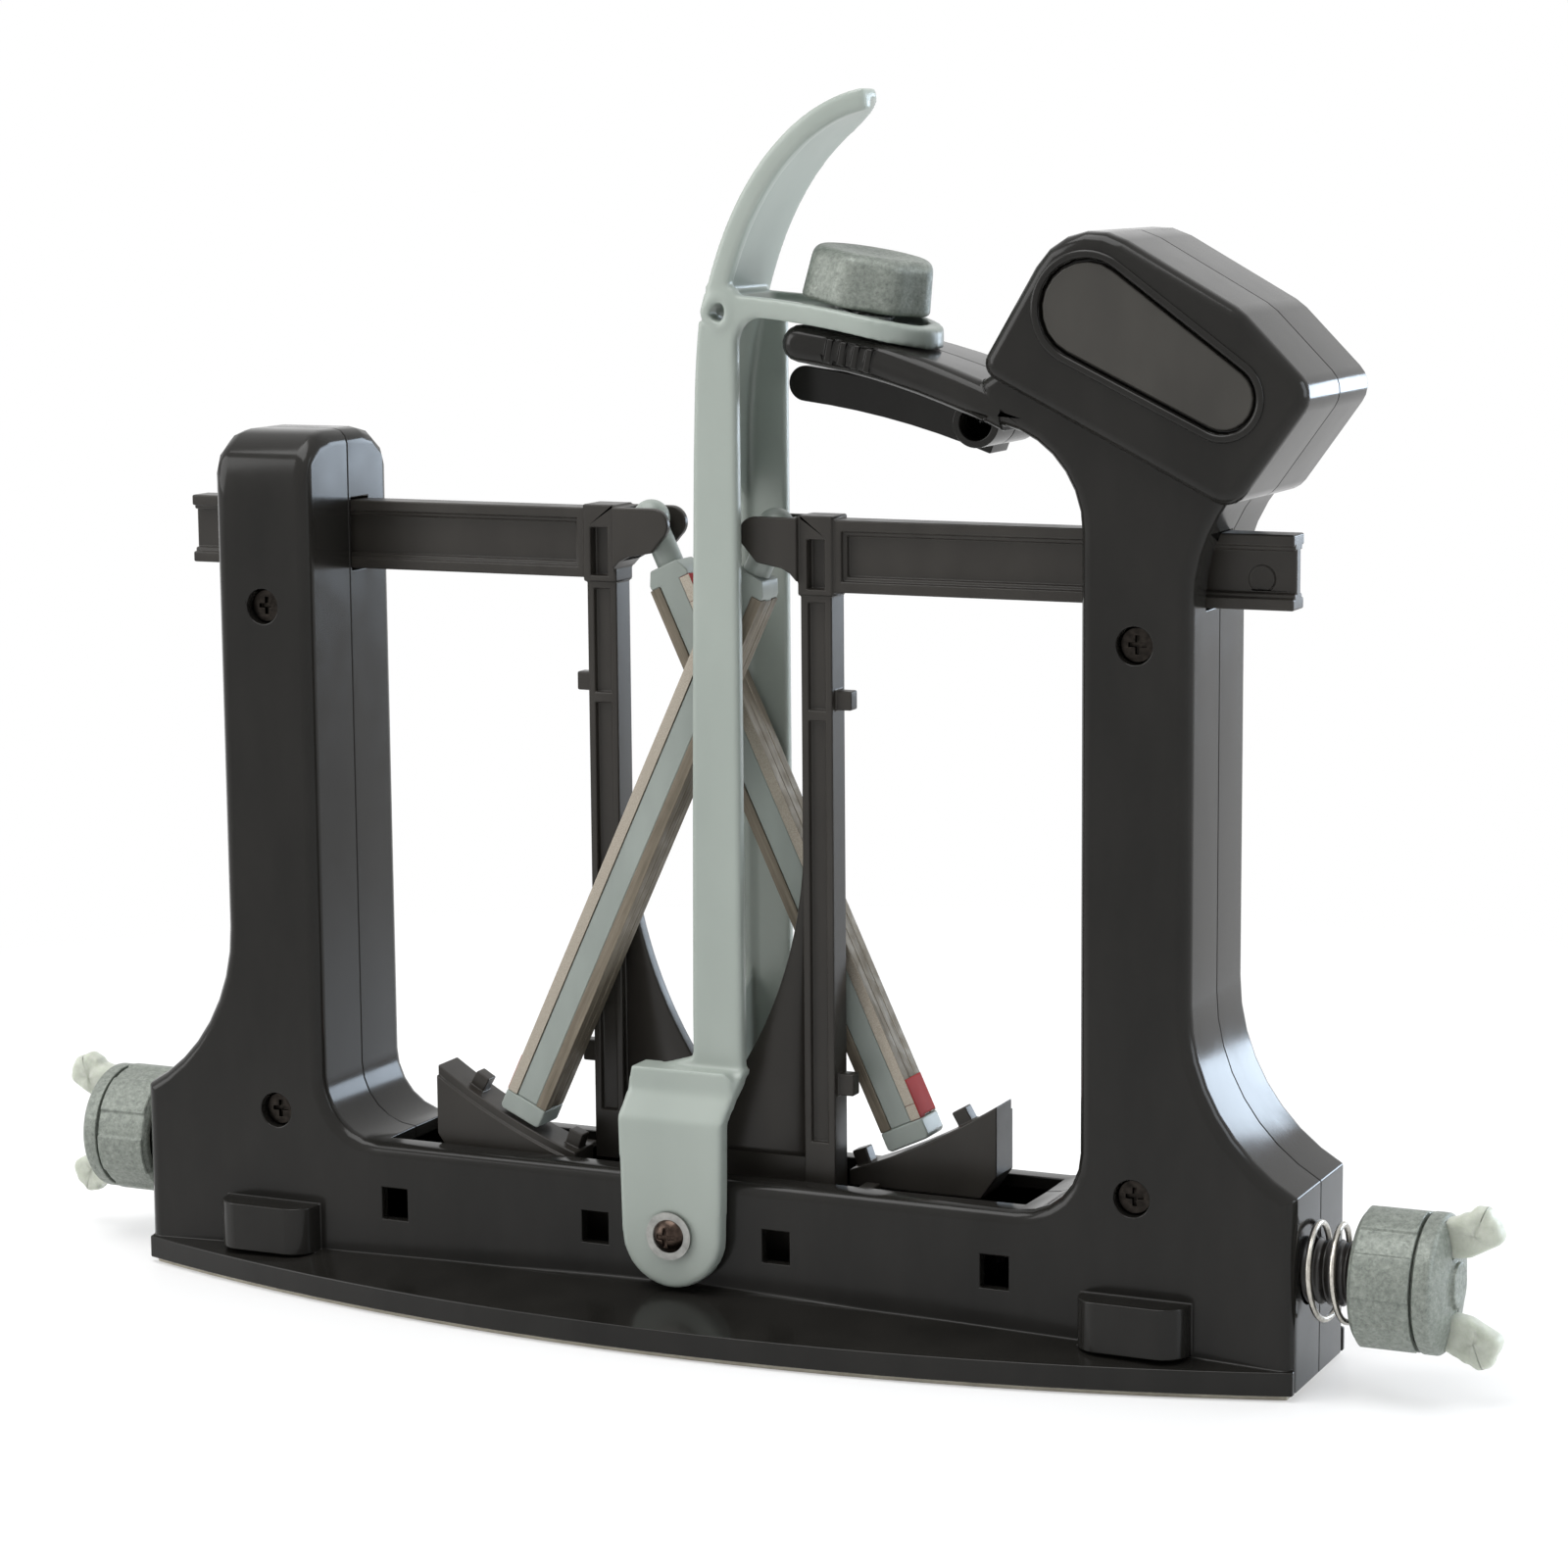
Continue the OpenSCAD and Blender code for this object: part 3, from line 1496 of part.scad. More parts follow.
front_shell();
rear_shell();
shell_screws();
base_pad();
grip_pad_front();
grip_pad_rear();
right_nut();
left_nut();
pivot_bush();
pivot_washer();
pivot_screw();
right_outer_spring();
left_outer_spring();
front_inner_spring();
rear_inner_spring();
guide_lever();
clamp_bolt();
clamp_washer();
clamp_knob();
clamp_insert();
front_carriage();
front_ramp();
rear_carriage();
rear_ramp();
front_rod_core();
front_rod_coarse_strips();
front_rod_fine_strips();
front_rod_marks();
front_rod_foot();
front_rod_head();
rear_rod_core();
rear_rod_coarse_strips();
rear_rod_fine_strips();
rear_rod_marks();
rear_rod_foot();
rear_rod_head();
right_plunger();
right_screw();
right_cup();
right_cap();
right_wings();
left_plunger();
left_screw();
left_cup();
left_cap();
left_wings();
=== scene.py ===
# Pull-through knife sharpener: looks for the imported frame, in metres
import json
import bpy
import bmesh
import numpy as np
from math import radians
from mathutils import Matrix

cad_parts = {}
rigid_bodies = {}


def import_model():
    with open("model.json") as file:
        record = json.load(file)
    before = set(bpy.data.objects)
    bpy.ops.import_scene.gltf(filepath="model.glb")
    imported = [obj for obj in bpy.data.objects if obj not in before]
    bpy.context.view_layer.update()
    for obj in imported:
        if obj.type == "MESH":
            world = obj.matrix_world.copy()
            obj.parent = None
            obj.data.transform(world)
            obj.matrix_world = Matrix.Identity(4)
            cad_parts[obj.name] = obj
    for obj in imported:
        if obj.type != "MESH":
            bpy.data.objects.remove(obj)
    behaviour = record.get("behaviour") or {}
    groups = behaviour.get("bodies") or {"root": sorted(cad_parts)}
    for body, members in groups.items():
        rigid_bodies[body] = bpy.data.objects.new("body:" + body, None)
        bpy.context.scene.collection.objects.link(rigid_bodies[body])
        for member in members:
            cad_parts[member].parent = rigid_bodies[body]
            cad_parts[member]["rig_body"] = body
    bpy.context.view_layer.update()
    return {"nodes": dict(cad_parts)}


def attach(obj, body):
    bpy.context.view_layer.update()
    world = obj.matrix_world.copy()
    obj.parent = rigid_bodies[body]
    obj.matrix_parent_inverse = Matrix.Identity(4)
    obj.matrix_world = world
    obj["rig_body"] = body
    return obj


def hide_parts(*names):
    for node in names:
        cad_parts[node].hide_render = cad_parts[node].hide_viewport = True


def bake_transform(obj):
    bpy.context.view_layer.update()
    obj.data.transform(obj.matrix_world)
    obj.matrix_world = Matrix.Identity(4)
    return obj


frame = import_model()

nodes = frame["nodes"]
mm = 0.001

camera = {
    "yaw": 24.596,       # degrees, seen from the right of the front
    "pitch": 8.898,      # degrees above the horizon
    "roll": -0.477,
    "place": (0.33034, -0.69052, 0.22199),
    "lens": 93.76,       # mm
    "sensor": 36,        # mm wide
    "clipStart": 0.01,
}


def placeCamera(values):
    # the view's right, up and back directions are the columns of its matrix
    yaw, pitch, roll = np.radians([values["yaw"], values["pitch"], values["roll"]])
    back = np.array([np.sin(yaw) * np.cos(pitch), -np.cos(yaw) * np.cos(pitch), np.sin(pitch)])
    right = np.cross(-back, [0, 0, 1])
    right /= np.linalg.norm(right)
    up = np.cross(right, -back)
    turned = [np.cos(roll) * right + np.sin(roll) * up, np.cos(roll) * up - np.sin(roll) * right, back]
    matrix = np.eye(4)
    matrix[:3, :3] = np.array(turned).T
    matrix[:3, 3] = values["place"]
    data = bpy.data.cameras.new("photoCamera")
    data.lens = values["lens"]
    data.sensor_width = values["sensor"]
    data.clip_start = values["clipStart"]
    item = bpy.data.objects.new("photoCamera", data)
    item.matrix_world = matrix.T
    bpy.context.scene.collection.objects.link(item)
    bpy.context.scene.camera = item


placeCamera(camera)
print("camera placed")


def linked(name, mesh):
    item = bpy.data.objects.new(name, mesh)
    bpy.context.scene.collection.objects.link(item)
    return item


def smoothFaces(mesh):
    mesh.polygons.foreach_set("use_smooth", np.ones(len(mesh.polygons), bool))


def readCorners(mesh):
    # the mesh's vertices in mm, one row each
    place = np.empty(len(mesh.vertices) * 3)
    mesh.vertices.foreach_get("co", place)
    return place.reshape(-1, 3) / mm


def moveCorners(mesh, place):
    mesh.vertices.foreach_set("co", (place * mm).ravel())
    mesh.update()


def unitRows(rows):
    return rows / np.linalg.norm(rows, axis=1)[:, None]


def lengthAlong(line):
    # distance from the start of a line to each of its points
    return np.concatenate([[0], np.cumsum(np.linalg.norm(np.diff(line, axis=0), axis=1))])


def fullTurn(steps):
    return np.linspace(0, 2 * np.pi, steps, endpoint=False)


def facesOutward(mesh, merge=0.0):
    # joins corners that are closer than merge (mm) and turns every face outward
    work = bmesh.new()
    work.from_mesh(mesh)
    if merge:
        bmesh.ops.remove_doubles(work, verts=work.verts, dist=merge * mm)
    bmesh.ops.recalc_face_normals(work, faces=work.faces)
    work.to_mesh(mesh)
    work.free()


def gridPiece(name, points, closeU=False, closeV=False, capU=False, merge=0.0):
    # points[i, j] is the surface at u_i, v_j, and each four neighbours make a face
    n, m = points.shape[:2]
    index = np.arange(n * m).reshape(n, m)
    here = index if closeU else index[:-1]
    beyond = np.roll(index, -1, 0) if closeU else index[1:]
    if closeV:
        quads = [here, beyond, np.roll(beyond, -1, 1), np.roll(here, -1, 1)]
    else:
        quads = [here[:, :-1], beyond[:, :-1], beyond[:, 1:], here[:, 1:]]
    faces = np.stack(quads, -1).reshape(-1, 4).tolist()
    if capU:
        faces += [index[0].tolist(), index[-1][::-1].tolist()]
    mesh = bpy.data.meshes.new(name)
    mesh.from_pydata(points.reshape(-1, 3).tolist(), [], faces)
    facesOutward(mesh, merge)
    smoothFaces(mesh)
    return linked(name, mesh)


softening = {
    "merge": 0.002,      # mm, corners closer than this are one
    "flat": 0.4,         # degrees, faces that turn by less become one
    "sharp": 34,         # degrees, edges that turn by more are rounded
    "segments": 2,
    "faceWeight": 100,   # large faces rule the shading
}


def mergedWork(mesh, values):
    # a bmesh of a node's loose triangles, joined at their corners
    work = bmesh.new()
    work.from_mesh(mesh)
    bmesh.ops.remove_doubles(work, verts=work.verts, dist=values["merge"] * mm)
    return work


def mouldedCopy(node, name, soft, values):
    # a merged copy of a node's mesh with softened edges (mm), which stands for the node
    mesh = nodes[node].data.copy()
    mesh.name = name
    work = mergedWork(mesh, values)
    bmesh.ops.dissolve_limit(work, angle_limit=radians(values["flat"]), verts=work.verts, edges=work.edges)
    work.edges.ensure_lookup_table()
    turn = np.array([e.calc_face_angle(0.0) for e in work.edges])
    work.to_mesh(mesh)
    work.free()
    smoothFaces(mesh)
    item = linked(name, mesh)
    sharp = (turn >= radians(values["sharp"])).astype(np.float32)
    mesh.attributes.new("bevel_weight_edge", "FLOAT", "EDGE").data.foreach_set("value", sharp)
    edge = item.modifiers.new("softEdges", "BEVEL")
    edge.width = soft * mm
    edge.segments = values["segments"]
    edge.limit_method = "WEIGHT"
    edge.use_clamp_overlap = False
    weigh = item.modifiers.new("weightedNormals", "WEIGHTED_NORMAL")
    weigh.keep_sharp = True
    weigh.weight = values["faceWeight"]
    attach(item, nodes[node]["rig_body"])
    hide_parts(node)
    return item


def setInputs(node, values):
    for name, value in values.items():
        node.inputs[name].default_value = value
    return node


def newFinish(name, colour, rough, metal=0.0, specular=0.5):
    # a plain material with its nodes and its shader, to which the others add their patterns
    finish = bpy.data.materials.new(name)
    finish.use_nodes = True
    shader = setInputs(finish.node_tree.nodes["Principled BSDF"], {
        "Base Color": (*colour, 1), "Roughness": rough, "Metallic": metal, "Specular IOR Level": specular})
    return finish, finish.node_tree, shader


def noiseField(tree, scale, detail=4.0, stretch=(1, 1, 1), rough=0.6, lean=0.0):
    # scale is per metre; stretch is per axis after the pattern is leaned about y, in degrees
    place = tree.nodes.new("ShaderNodeTexCoord")
    turn = tree.nodes.new("ShaderNodeMapping")
    turn.vector_type = "TEXTURE"
    setInputs(turn, {"Scale": [1 / k for k in stretch], "Rotation": (0, radians(lean), 0)})
    noise = setInputs(tree.nodes.new("ShaderNodeTexNoise"), {
        "Scale": scale, "Detail": detail, "Roughness": rough})
    tree.links.new(place.outputs["Object"], turn.inputs["Vector"])
    tree.links.new(turn.outputs["Vector"], noise.inputs["Vector"])
    return noise.outputs["Fac"]


def ranged(tree, field, low, high, fromLow=0.3, fromHigh=0.7):
    # a number that goes from low to high as the field goes from fromLow to fromHigh
    fit = setInputs(tree.nodes.new("ShaderNodeMapRange"), {
        "From Min": fromLow, "From Max": fromHigh, "To Min": low, "To Max": high})
    tree.links.new(field, fit.inputs["Value"])
    return fit.outputs["Result"]


def toned(tree, field, dark, light, fromLow=0.3, fromHigh=0.7):
    # a colour that goes from dark to light as the field goes from fromLow to fromHigh
    ramp = tree.nodes.new("ShaderNodeValToRGB")
    for stop, position, colour in zip(ramp.color_ramp.elements, (fromLow, fromHigh), (dark, light)):
        stop.position = position
        stop.color = (*colour, 1)
    tree.links.new(field, ramp.inputs["Fac"])
    return ramp.outputs["Color"]


def bumped(tree, shader, field, strength, depth):
    # relief of a depth in mm, on top of the relief that the shader already has
    bump = setInputs(tree.nodes.new("ShaderNodeBump"), {"Strength": strength, "Distance": depth * mm})
    tree.links.new(field, bump.inputs["Height"])
    if shader.inputs["Normal"].is_linked:
        tree.links.new(shader.inputs["Normal"].links[0].from_socket, bump.inputs["Normal"])
    tree.links.new(bump.outputs["Normal"], shader.inputs["Normal"])


plastic = {
    # patterns per metre; strengths of the relief; the ripple's depth is so many times the grain's
    "flowStretch": (1, 1, 0.35), "cloud": 130, "skin": 2200, "ripple": 45,
    "skinStrength": 0.25, "rippleStrength": 0.3, "rippleDepth": 3,
}


def moulded(name, dark, light, roughLow, roughHigh, grain, specular=0.5, flow=60):
    # moulded plastic: slow tone changes with the melt's flow, cloudy gloss, fine skin grain (mm)
    finish, tree, shader = newFinish(name, light, roughHigh, specular=specular)
    slow = noiseField(tree, flow, 3, plastic["flowStretch"])
    tree.links.new(toned(tree, slow, dark, light), shader.inputs["Base Color"])
    cloud = noiseField(tree, plastic["cloud"], 5)
    tree.links.new(ranged(tree, cloud, roughLow, roughHigh), shader.inputs["Roughness"])
    skin = noiseField(tree, plastic["skin"], 2)
    bumped(tree, shader, skin, plastic["skinStrength"], grain)
    ripple = noiseField(tree, plastic["ripple"], 2)
    bumped(tree, shader, ripple, plastic["rippleStrength"], grain * plastic["rippleDepth"])
    return finish


flakes = {
    # patterns per metre, roughness from and to, relief's strength and depth in mm
    "cells": 2600, "metal": 0.25, "tone": 900, "toneSpan": (0.36, 0.66),
    "gloss": 1500, "rough": (0.34, 0.62), "relief": 1400, "strength": 0.5, "depth": 0.12,
}


def metallicGrain(name, dark, light, sparkle):
    # grey-green plastic filled with flakes: each cell of the grain has its own tone
    finish, tree, shader = newFinish(name, light, flakes["rough"][1], metal=flakes["metal"])
    place = tree.nodes.new("ShaderNodeTexCoord")
    cells = setInputs(tree.nodes.new("ShaderNodeTexVoronoi"), {"Scale": flakes["cells"]})
    tree.links.new(place.outputs["Object"], cells.inputs["Vector"])
    tone = toned(tree, noiseField(tree, flakes["tone"], 5, rough=0.8), dark, light, *flakes["toneSpan"])
    spark = setInputs(tree.nodes.new("ShaderNodeHueSaturation"), {"Saturation": 0.0})
    tree.links.new(cells.outputs["Color"], spark.inputs["Color"])
    mix = tree.nodes.new("ShaderNodeMix")
    mix.data_type = "RGBA"
    mix.blend_type = "OVERLAY"
    setInputs(mix, {"Factor": sparkle})
    tree.links.new(tone, mix.inputs[6])                      # colours A and B, and the mixed colour
    tree.links.new(spark.outputs["Color"], mix.inputs[7])
    tree.links.new(mix.outputs[2], shader.inputs["Base Color"])
    gloss = noiseField(tree, flakes["gloss"], 3)
    tree.links.new(ranged(tree, gloss, *flakes["rough"]), shader.inputs["Roughness"])
    relief = noiseField(tree, flakes["relief"], 4, rough=0.7)
    bumped(tree, shader, relief, flakes["strength"], flakes["depth"])
    return finish


ground = {
    # patterns per metre, share of the roughness from and to, relief's strength
    "lines": 900, "gloss": 300, "roughShare": (0.75, 1.3), "strength": 0.3,
}


def groundMetal(name, dark, light, rough, stretch, grain=0.02, lean=0.0, specular=0.5, metal=1.0):
    # ground or drawn metal: fine lines along one direction, uneven gloss
    finish, tree, shader = newFinish(name, light, rough, metal=metal, specular=specular)
    lines = noiseField(tree, ground["lines"], 6, stretch, 0.7, lean)
    tree.links.new(toned(tree, lines, dark, light), shader.inputs["Base Color"])
    low, high = (rough * k for k in ground["roughShare"])
    gloss = noiseField(tree, ground["gloss"], 4)
    tree.links.new(ranged(tree, gloss, low, high), shader.inputs["Roughness"])
    bumped(tree, shader, lines, ground["strength"], grain)
    return finish


grit = {
    # gloss pattern per metre, roughness from and to, relief's strength and depth in mm
    "metal": 0.6, "toneSpan": (0.35, 0.68), "gloss": 500, "rough": (0.3, 0.55),
    "strength": 0.6, "depth": 0.05,
}


def abrasiveFace(name, dark, light, grains):
    # bonded grit on a strip: speckled tone and a rough, glinting skin
    finish, tree, shader = newFinish(name, light, grit["rough"][1], metal=grit["metal"])
    specks = noiseField(tree, grains, 6, rough=0.85)
    tree.links.new(toned(tree, specks, dark, light, *grit["toneSpan"]), shader.inputs["Base Color"])
    gloss = noiseField(tree, grit["gloss"], 3)
    tree.links.new(ranged(tree, gloss, *grit["rough"]), shader.inputs["Roughness"])
    bumped(tree, shader, specks, grit["strength"], grit["depth"])
    return finish


milky = {
    # patterns per metre, roughness from and to, relief's strength and depth in mm
    "cloud": 260, "toneSpan": (0.32, 0.68), "gloss": 700, "rough": (0.3, 0.55),
    "relief": 500, "strength": 0.6, "depth": 0.25,
    # light inside: its share, how far each colour goes, and the distance in metres
    "inside": 0.35, "insideColour": (0.6, 0.7, 0.5), "insideReach": 0.003,
}


def cloudyPlastic(name, dark, light):
    # pale plastic that lets some light into it
    finish, tree, shader = newFinish(name, light, milky["rough"][1])
    cloud = noiseField(tree, milky["cloud"], 5, rough=0.7)
    tree.links.new(toned(tree, cloud, dark, light, *milky["toneSpan"]), shader.inputs["Base Color"])
    gloss = noiseField(tree, milky["gloss"], 4)
    tree.links.new(ranged(tree, gloss, *milky["rough"]), shader.inputs["Roughness"])
    setInputs(shader, {"Subsurface Weight": milky["inside"], "Subsurface Radius": milky["insideColour"],
                       "Subsurface Scale": milky["insideReach"]})
    relief = noiseField(tree, milky["relief"], 5, rough=0.8)
    bumped(tree, shader, relief, milky["strength"], milky["depth"])
    return finish


finishTable = {
    # name: how it is made, dark and light tone, then what that function asks for
    "caseBlack": (moulded, (0.0105, 0.0100, 0.0088), (0.0165, 0.0155, 0.0138), 0.13, 0.20, 0.005, 0.20),
    "satinBlack": (moulded, (0.024, 0.0215, 0.0185), (0.037, 0.0335, 0.029), 0.28, 0.38, 0.02, 0.25),
    "gripBlack": (moulded, (0.030, 0.028, 0.024), (0.046, 0.043, 0.037), 0.30, 0.40, 0.03, 0.35),
    "sageGrey": (moulded, (0.290, 0.328, 0.296), (0.345, 0.384, 0.348), 0.28, 0.38, 0.008, 0.5, 35),
    "rodGrey": (moulded, (0.215, 0.243, 0.222), (0.285, 0.318, 0.292), 0.34, 0.46, 0.012),
    "knobGrain": (metallicGrain, (0.135, 0.151, 0.133), (0.235, 0.257, 0.226), 0.20),
    "wingPale": (cloudyPlastic, (0.42, 0.445, 0.375), (0.575, 0.60, 0.52)),
    # painted highlight: this pale grit finish is put only on the rods' front faces, as their lit side
    "coarseStrip": (abrasiveFace, (0.25, 0.22, 0.18), (0.47, 0.425, 0.355), 5200),
    "brightSteel": (groundMetal, (0.40, 0.40, 0.40), (0.62, 0.62, 0.62), 0.26, (0.15, 1, 1)),
    "washerSteel": (groundMetal, (0.20, 0.20, 0.19), (0.40, 0.40, 0.38), 0.34, (0.4, 1, 0.4)),
    "springSteel": (groundMetal, (0.34, 0.325, 0.29), (0.60, 0.575, 0.52), 0.30, (1, 1, 1)),
    "bronzeBlack": (groundMetal, (0.022, 0.016, 0.013), (0.070, 0.050, 0.040), 0.24, (1, 1, 1)),
    "screwBlack": (groundMetal, (0.010, 0.009, 0.008), (0.034, 0.029, 0.025), 0.30, (1, 1, 1)),
    "turnedBrass": (groundMetal, (0.42, 0.30, 0.13), (0.68, 0.53, 0.27), 0.28, (0.2, 1, 1)),
    "threadBlack": (moulded, (0.012, 0.011, 0.010), (0.022, 0.019, 0.017), 0.26, 0.36, 0.01),
    "padBeige": (moulded, (0.46, 0.42, 0.34), (0.60, 0.56, 0.46), 0.70, 0.85, 0.08, 0.5, 160),
    "markRed": (moulded, (0.24, 0.016, 0.018), (0.36, 0.028, 0.026), 0.55, 0.68, 0.01, 0.10),
}
finishes = {name: make(name, *values) for name, (make, *values) in finishTable.items()}

rod = {
    "lean": 25.0,          # degrees that a rod leans as it hangs from its head
    "x": 15.0, "z": 152.0,  # the front rod's head, mm
    "plane": 4.3,          # distance of its middle in front of the case's middle, mm
    "reach": 124.2,        # distance from the head to the strips' lower end, mm
}
rodWays = {"front": 1, "rear": -1}       # the rear rod and carriage are the front ones turned half round
drawn = {
    "dark": (0.105, 0.090, 0.068), "light": (0.235, 0.203, 0.158), "rough": 0.58,
    "stretch": (1, 1, 0.04), "specular": 0.12, "metal": 0.3,
}
for side, way in rodWays.items():
    # drawn lines run along each rod; this dark finish is the fine strips' own, and is also painted shade on
    # the coarse strips' sides and the side plates
    finishes[side + "FineStrip"] = groundMetal(
        side + "FineStrip", drawn["dark"], drawn["light"], drawn["rough"], drawn["stretch"],
        lean=way * rod["lean"], specular=drawn["specular"], metal=drawn["metal"])


def wear(item, finish):
    # gives a piece or a node one finish in place of what it wore
    item.data.materials.clear()
    item.data.materials.append(finishes[finish])
    return item


def dressed(piece, finish, body):
    # a new piece's finish and the body that carries it
    wear(piece, finish)
    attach(piece, body)
    return piece


print("finishes made")

frontRear = ("front", "rear")
rightLeft = ("right", "left")
alone = ("",)
mouldings = {
    # node, where {} is its side: sides, finish, soft edge in mm
    "{}_shell": (frontRear, "caseBlack", 0.3),
    "grip_pad_{}": (frontRear, "gripBlack", 0.5),
    "{}_carriage": (frontRear, "satinBlack", 0.35),
    "{}_ramp": (frontRear, "satinBlack", 0.3),
    "{}_cup": (rightLeft, "knobGrain", 0.25),
    "{}_cap": (rightLeft, "knobGrain", 0.25),
    "shell_screws": (alone, "screwBlack", 0.1),
    "pivot_screw": (alone, "bronzeBlack", 0.12),
    "base_pad": (alone, "padBeige", 0.2),
}
rodParts = {
    # end of the node's name: finish, where {} is the rod's side, soft edge in mm
    "core": ("rodGrey", 0.3),
    "foot": ("rodGrey", 0.4),
    "head": ("rodGrey", 0.1),
    # the coarse strips' dark finish is painted shade on their sides; their front faces get a painted
    # highlight below
    "coarse_strips": ("{}FineStrip", 0.15),
    "fine_strips": ("{}FineStrip", 0.15),
    "marks": ("markRed", 0.15),
}
made = {}


def addMoulding(node, finish, soft):
    # the piece is named as its node is, in camelCase
    words = node.split("_")
    name = words[0] + "".join(w.capitalize() for w in words[1:])
    made[node] = wear(mouldedCopy(node, name, soft, softening), finish)


for node, (sides, finish, soft) in mouldings.items():
    for side in sides:
        addMoulding(node.format(side), finish, soft)
for side in frontRear:
    for part, (finish, soft) in rodParts.items():
        addMoulding(f"{side}_rod_{part}", finish.format(side), soft)

plain = {
    # finish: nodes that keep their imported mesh
    "turnedBrass": ("right_nut", "left_nut", "clamp_insert"),
    "brightSteel": ("pivot_bush", "clamp_bolt", "clamp_washer", "right_plunger", "left_plunger"),
    "washerSteel": ("pivot_washer",),
}
for finish, named in plain.items():
    for node in named:
        wear(nodes[node], finish)
print("mouldings made")


frontFacing = -0.5       # a face looks to the front if the y of its normal is lower


def brightFront(item):
    # painted highlight: the faces that look to the front wear the pale grit finish as the lit side, and the
    # other faces keep the dark finish as painted shade
    mesh = item.data
    mesh.materials.append(finishes["coarseStrip"])
    normal = np.empty(len(mesh.polygons) * 3)
    mesh.polygons.foreach_get("normal", normal)
    bright = normal.reshape(-1, 3)[:, 1] < frontFacing
    mesh.polygons.foreach_set("material_index", bright.astype(np.int32))


# the marks and coarse strips get painted highlights on their front faces
for side in frontRear:
    brightFront(made[side + "_rod_marks"])
    brightFront(made[side + "_rod_coarse_strips"])

screwZ = 21.8            # height of both tension screws, mm
tension = {
    # way outward, y of the screw's axis, x of the cup's outer end (mm)
    "right": {"way": 1, "y": -5.5, "cupEnd": 141.4},
    "left": {"way": -1, "y": 5.5, "cupEnd": -137.9},
}
capHub = {
    "start": 5.3,        # mm from the cup's end to the foot of the hub
    "reach": 3.7,        # mm, radius in which corners belong to the hub
    "low": 0.22, "wide": 1.25, "slack": 0.02,
}


def lowHub(mesh, end, values):
    # the hub in the middle of a cap becomes a low dome: its height shrinks and its radius grows
    start = end["cupEnd"] + end["way"] * values["start"]
    centre = np.array([end["y"], screwZ])
    place = readCorners(mesh)
    out = (place[:, 0] - start) * end["way"]
    hub = (np.hypot(*(place[:, 1:] - centre).T) < values["reach"]) & (out > -values["slack"])
    place[hub, 0] = start + (place[hub, 0] - start) * values["low"]
    place[hub, 1:] = centre + (place[hub, 1:] - centre) * values["wide"]
    moveCorners(mesh, place)


for side, end in tension.items():
    lowHub(made[side + "_cap"].data, end, capHub)

lever = {
    "voxel": 0.47,                       # mm, grain of the one skin
    "calm": 0.5, "rounds": 12,           # strength and number of smoothing rounds
    # shoulder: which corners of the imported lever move, and where to (x, y and z, mm)
    "cornerLeftOf": -6.0, "cornerZ": (49.5, 51.5), "ledgeX": -10.4,
    "topZ": (50.9, 51.3), "ledgeZ": 50.3,
    "flareLeftOf": 1.5, "flareFrontOf": -9.0, "flareZ": (56.0, 61.0), "flareTo": 52.2,
    # thick block on the shoulder: its outline in x and z, and its depth in y
    "block": [(-11.2, 46.2), (10.6, 46.2), (10.6, 49.0), (9.2, 50.3), (-10.4, 50.3)],
    "blockDepth": (-17.0, -12.0),
    # horn: z where it takes over, outer line on its front face in x and z
    "cut": 196.4, "onCut": 0.001,        # corners this near to the cut lie on it
    "horn": [(4.9, 194.6), (5.35, 196.2), (7.8, 203.5), (10.4, 209.7), (14.2, 216.0), (19.2, 222.2),
             (26.6, 228.2), (37.0, 232.0)],
    "hornPower": 4, "hornSteps": 90,
    "hornY": (-13.5, -10.3, 11.4, -8.0),  # front, back of the rim, rear edge at the foot and the tip
    "hornThick": (4.0, 2.1),             # rim and sheet
    "taperFrom": 0.7,                    # share of the length after which the sheet narrows
    # left edge of the flange: x at z
    "edgeZ": [60, 120, 165, 178, 183, 187.6, 192.1, 196, 200, 205],
    "edgeX": [0.9, 1.6, 2.4, 2.8, 3.1, 3.5, 4.1, 5.3, 6.6, 8.3],
    "flange": (0.9, 11.2),               # packed left and right edge
    "bands": (58.0, 206.0, 0.6),         # from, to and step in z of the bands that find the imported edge
    "bandsFrom": 61.0,                   # below this z the edge stays
    "even": [0.25, 0.5, 0.25],           # shares of a band and its neighbours, to even out the edge
    "face": -11.5,                       # y in front of which the edge is looked for
    "fadeY": (-3.5, -10.0),              # the shift is nothing at the first y and whole at the second
    "shiftTo": (12.0, 196.0),            # x and z up to which corners are shifted
    "trimZ": (184.0, 196.0), "trimY": -7.0,  # corners that may not lie left of the edge
}


def within(values, span):
    return (values > span[0]) & (values < span[1])


def plateSolid(outline, depth):
    # an outline in x and z, carried from one y to another, with both ends closed
    flat = np.array(outline, float)
    n = len(flat)
    ends = [np.stack([flat[:, 0], np.full(n, y), flat[:, 1]], 1) for y in depth]
    ring = np.arange(n)
    sides = np.stack([ring, np.roll(ring, -1), np.roll(ring, -1) + n, ring + n], 1).tolist()
    return np.concatenate(ends), sides + [ring[::-1].tolist(), (ring + n).tolist()]


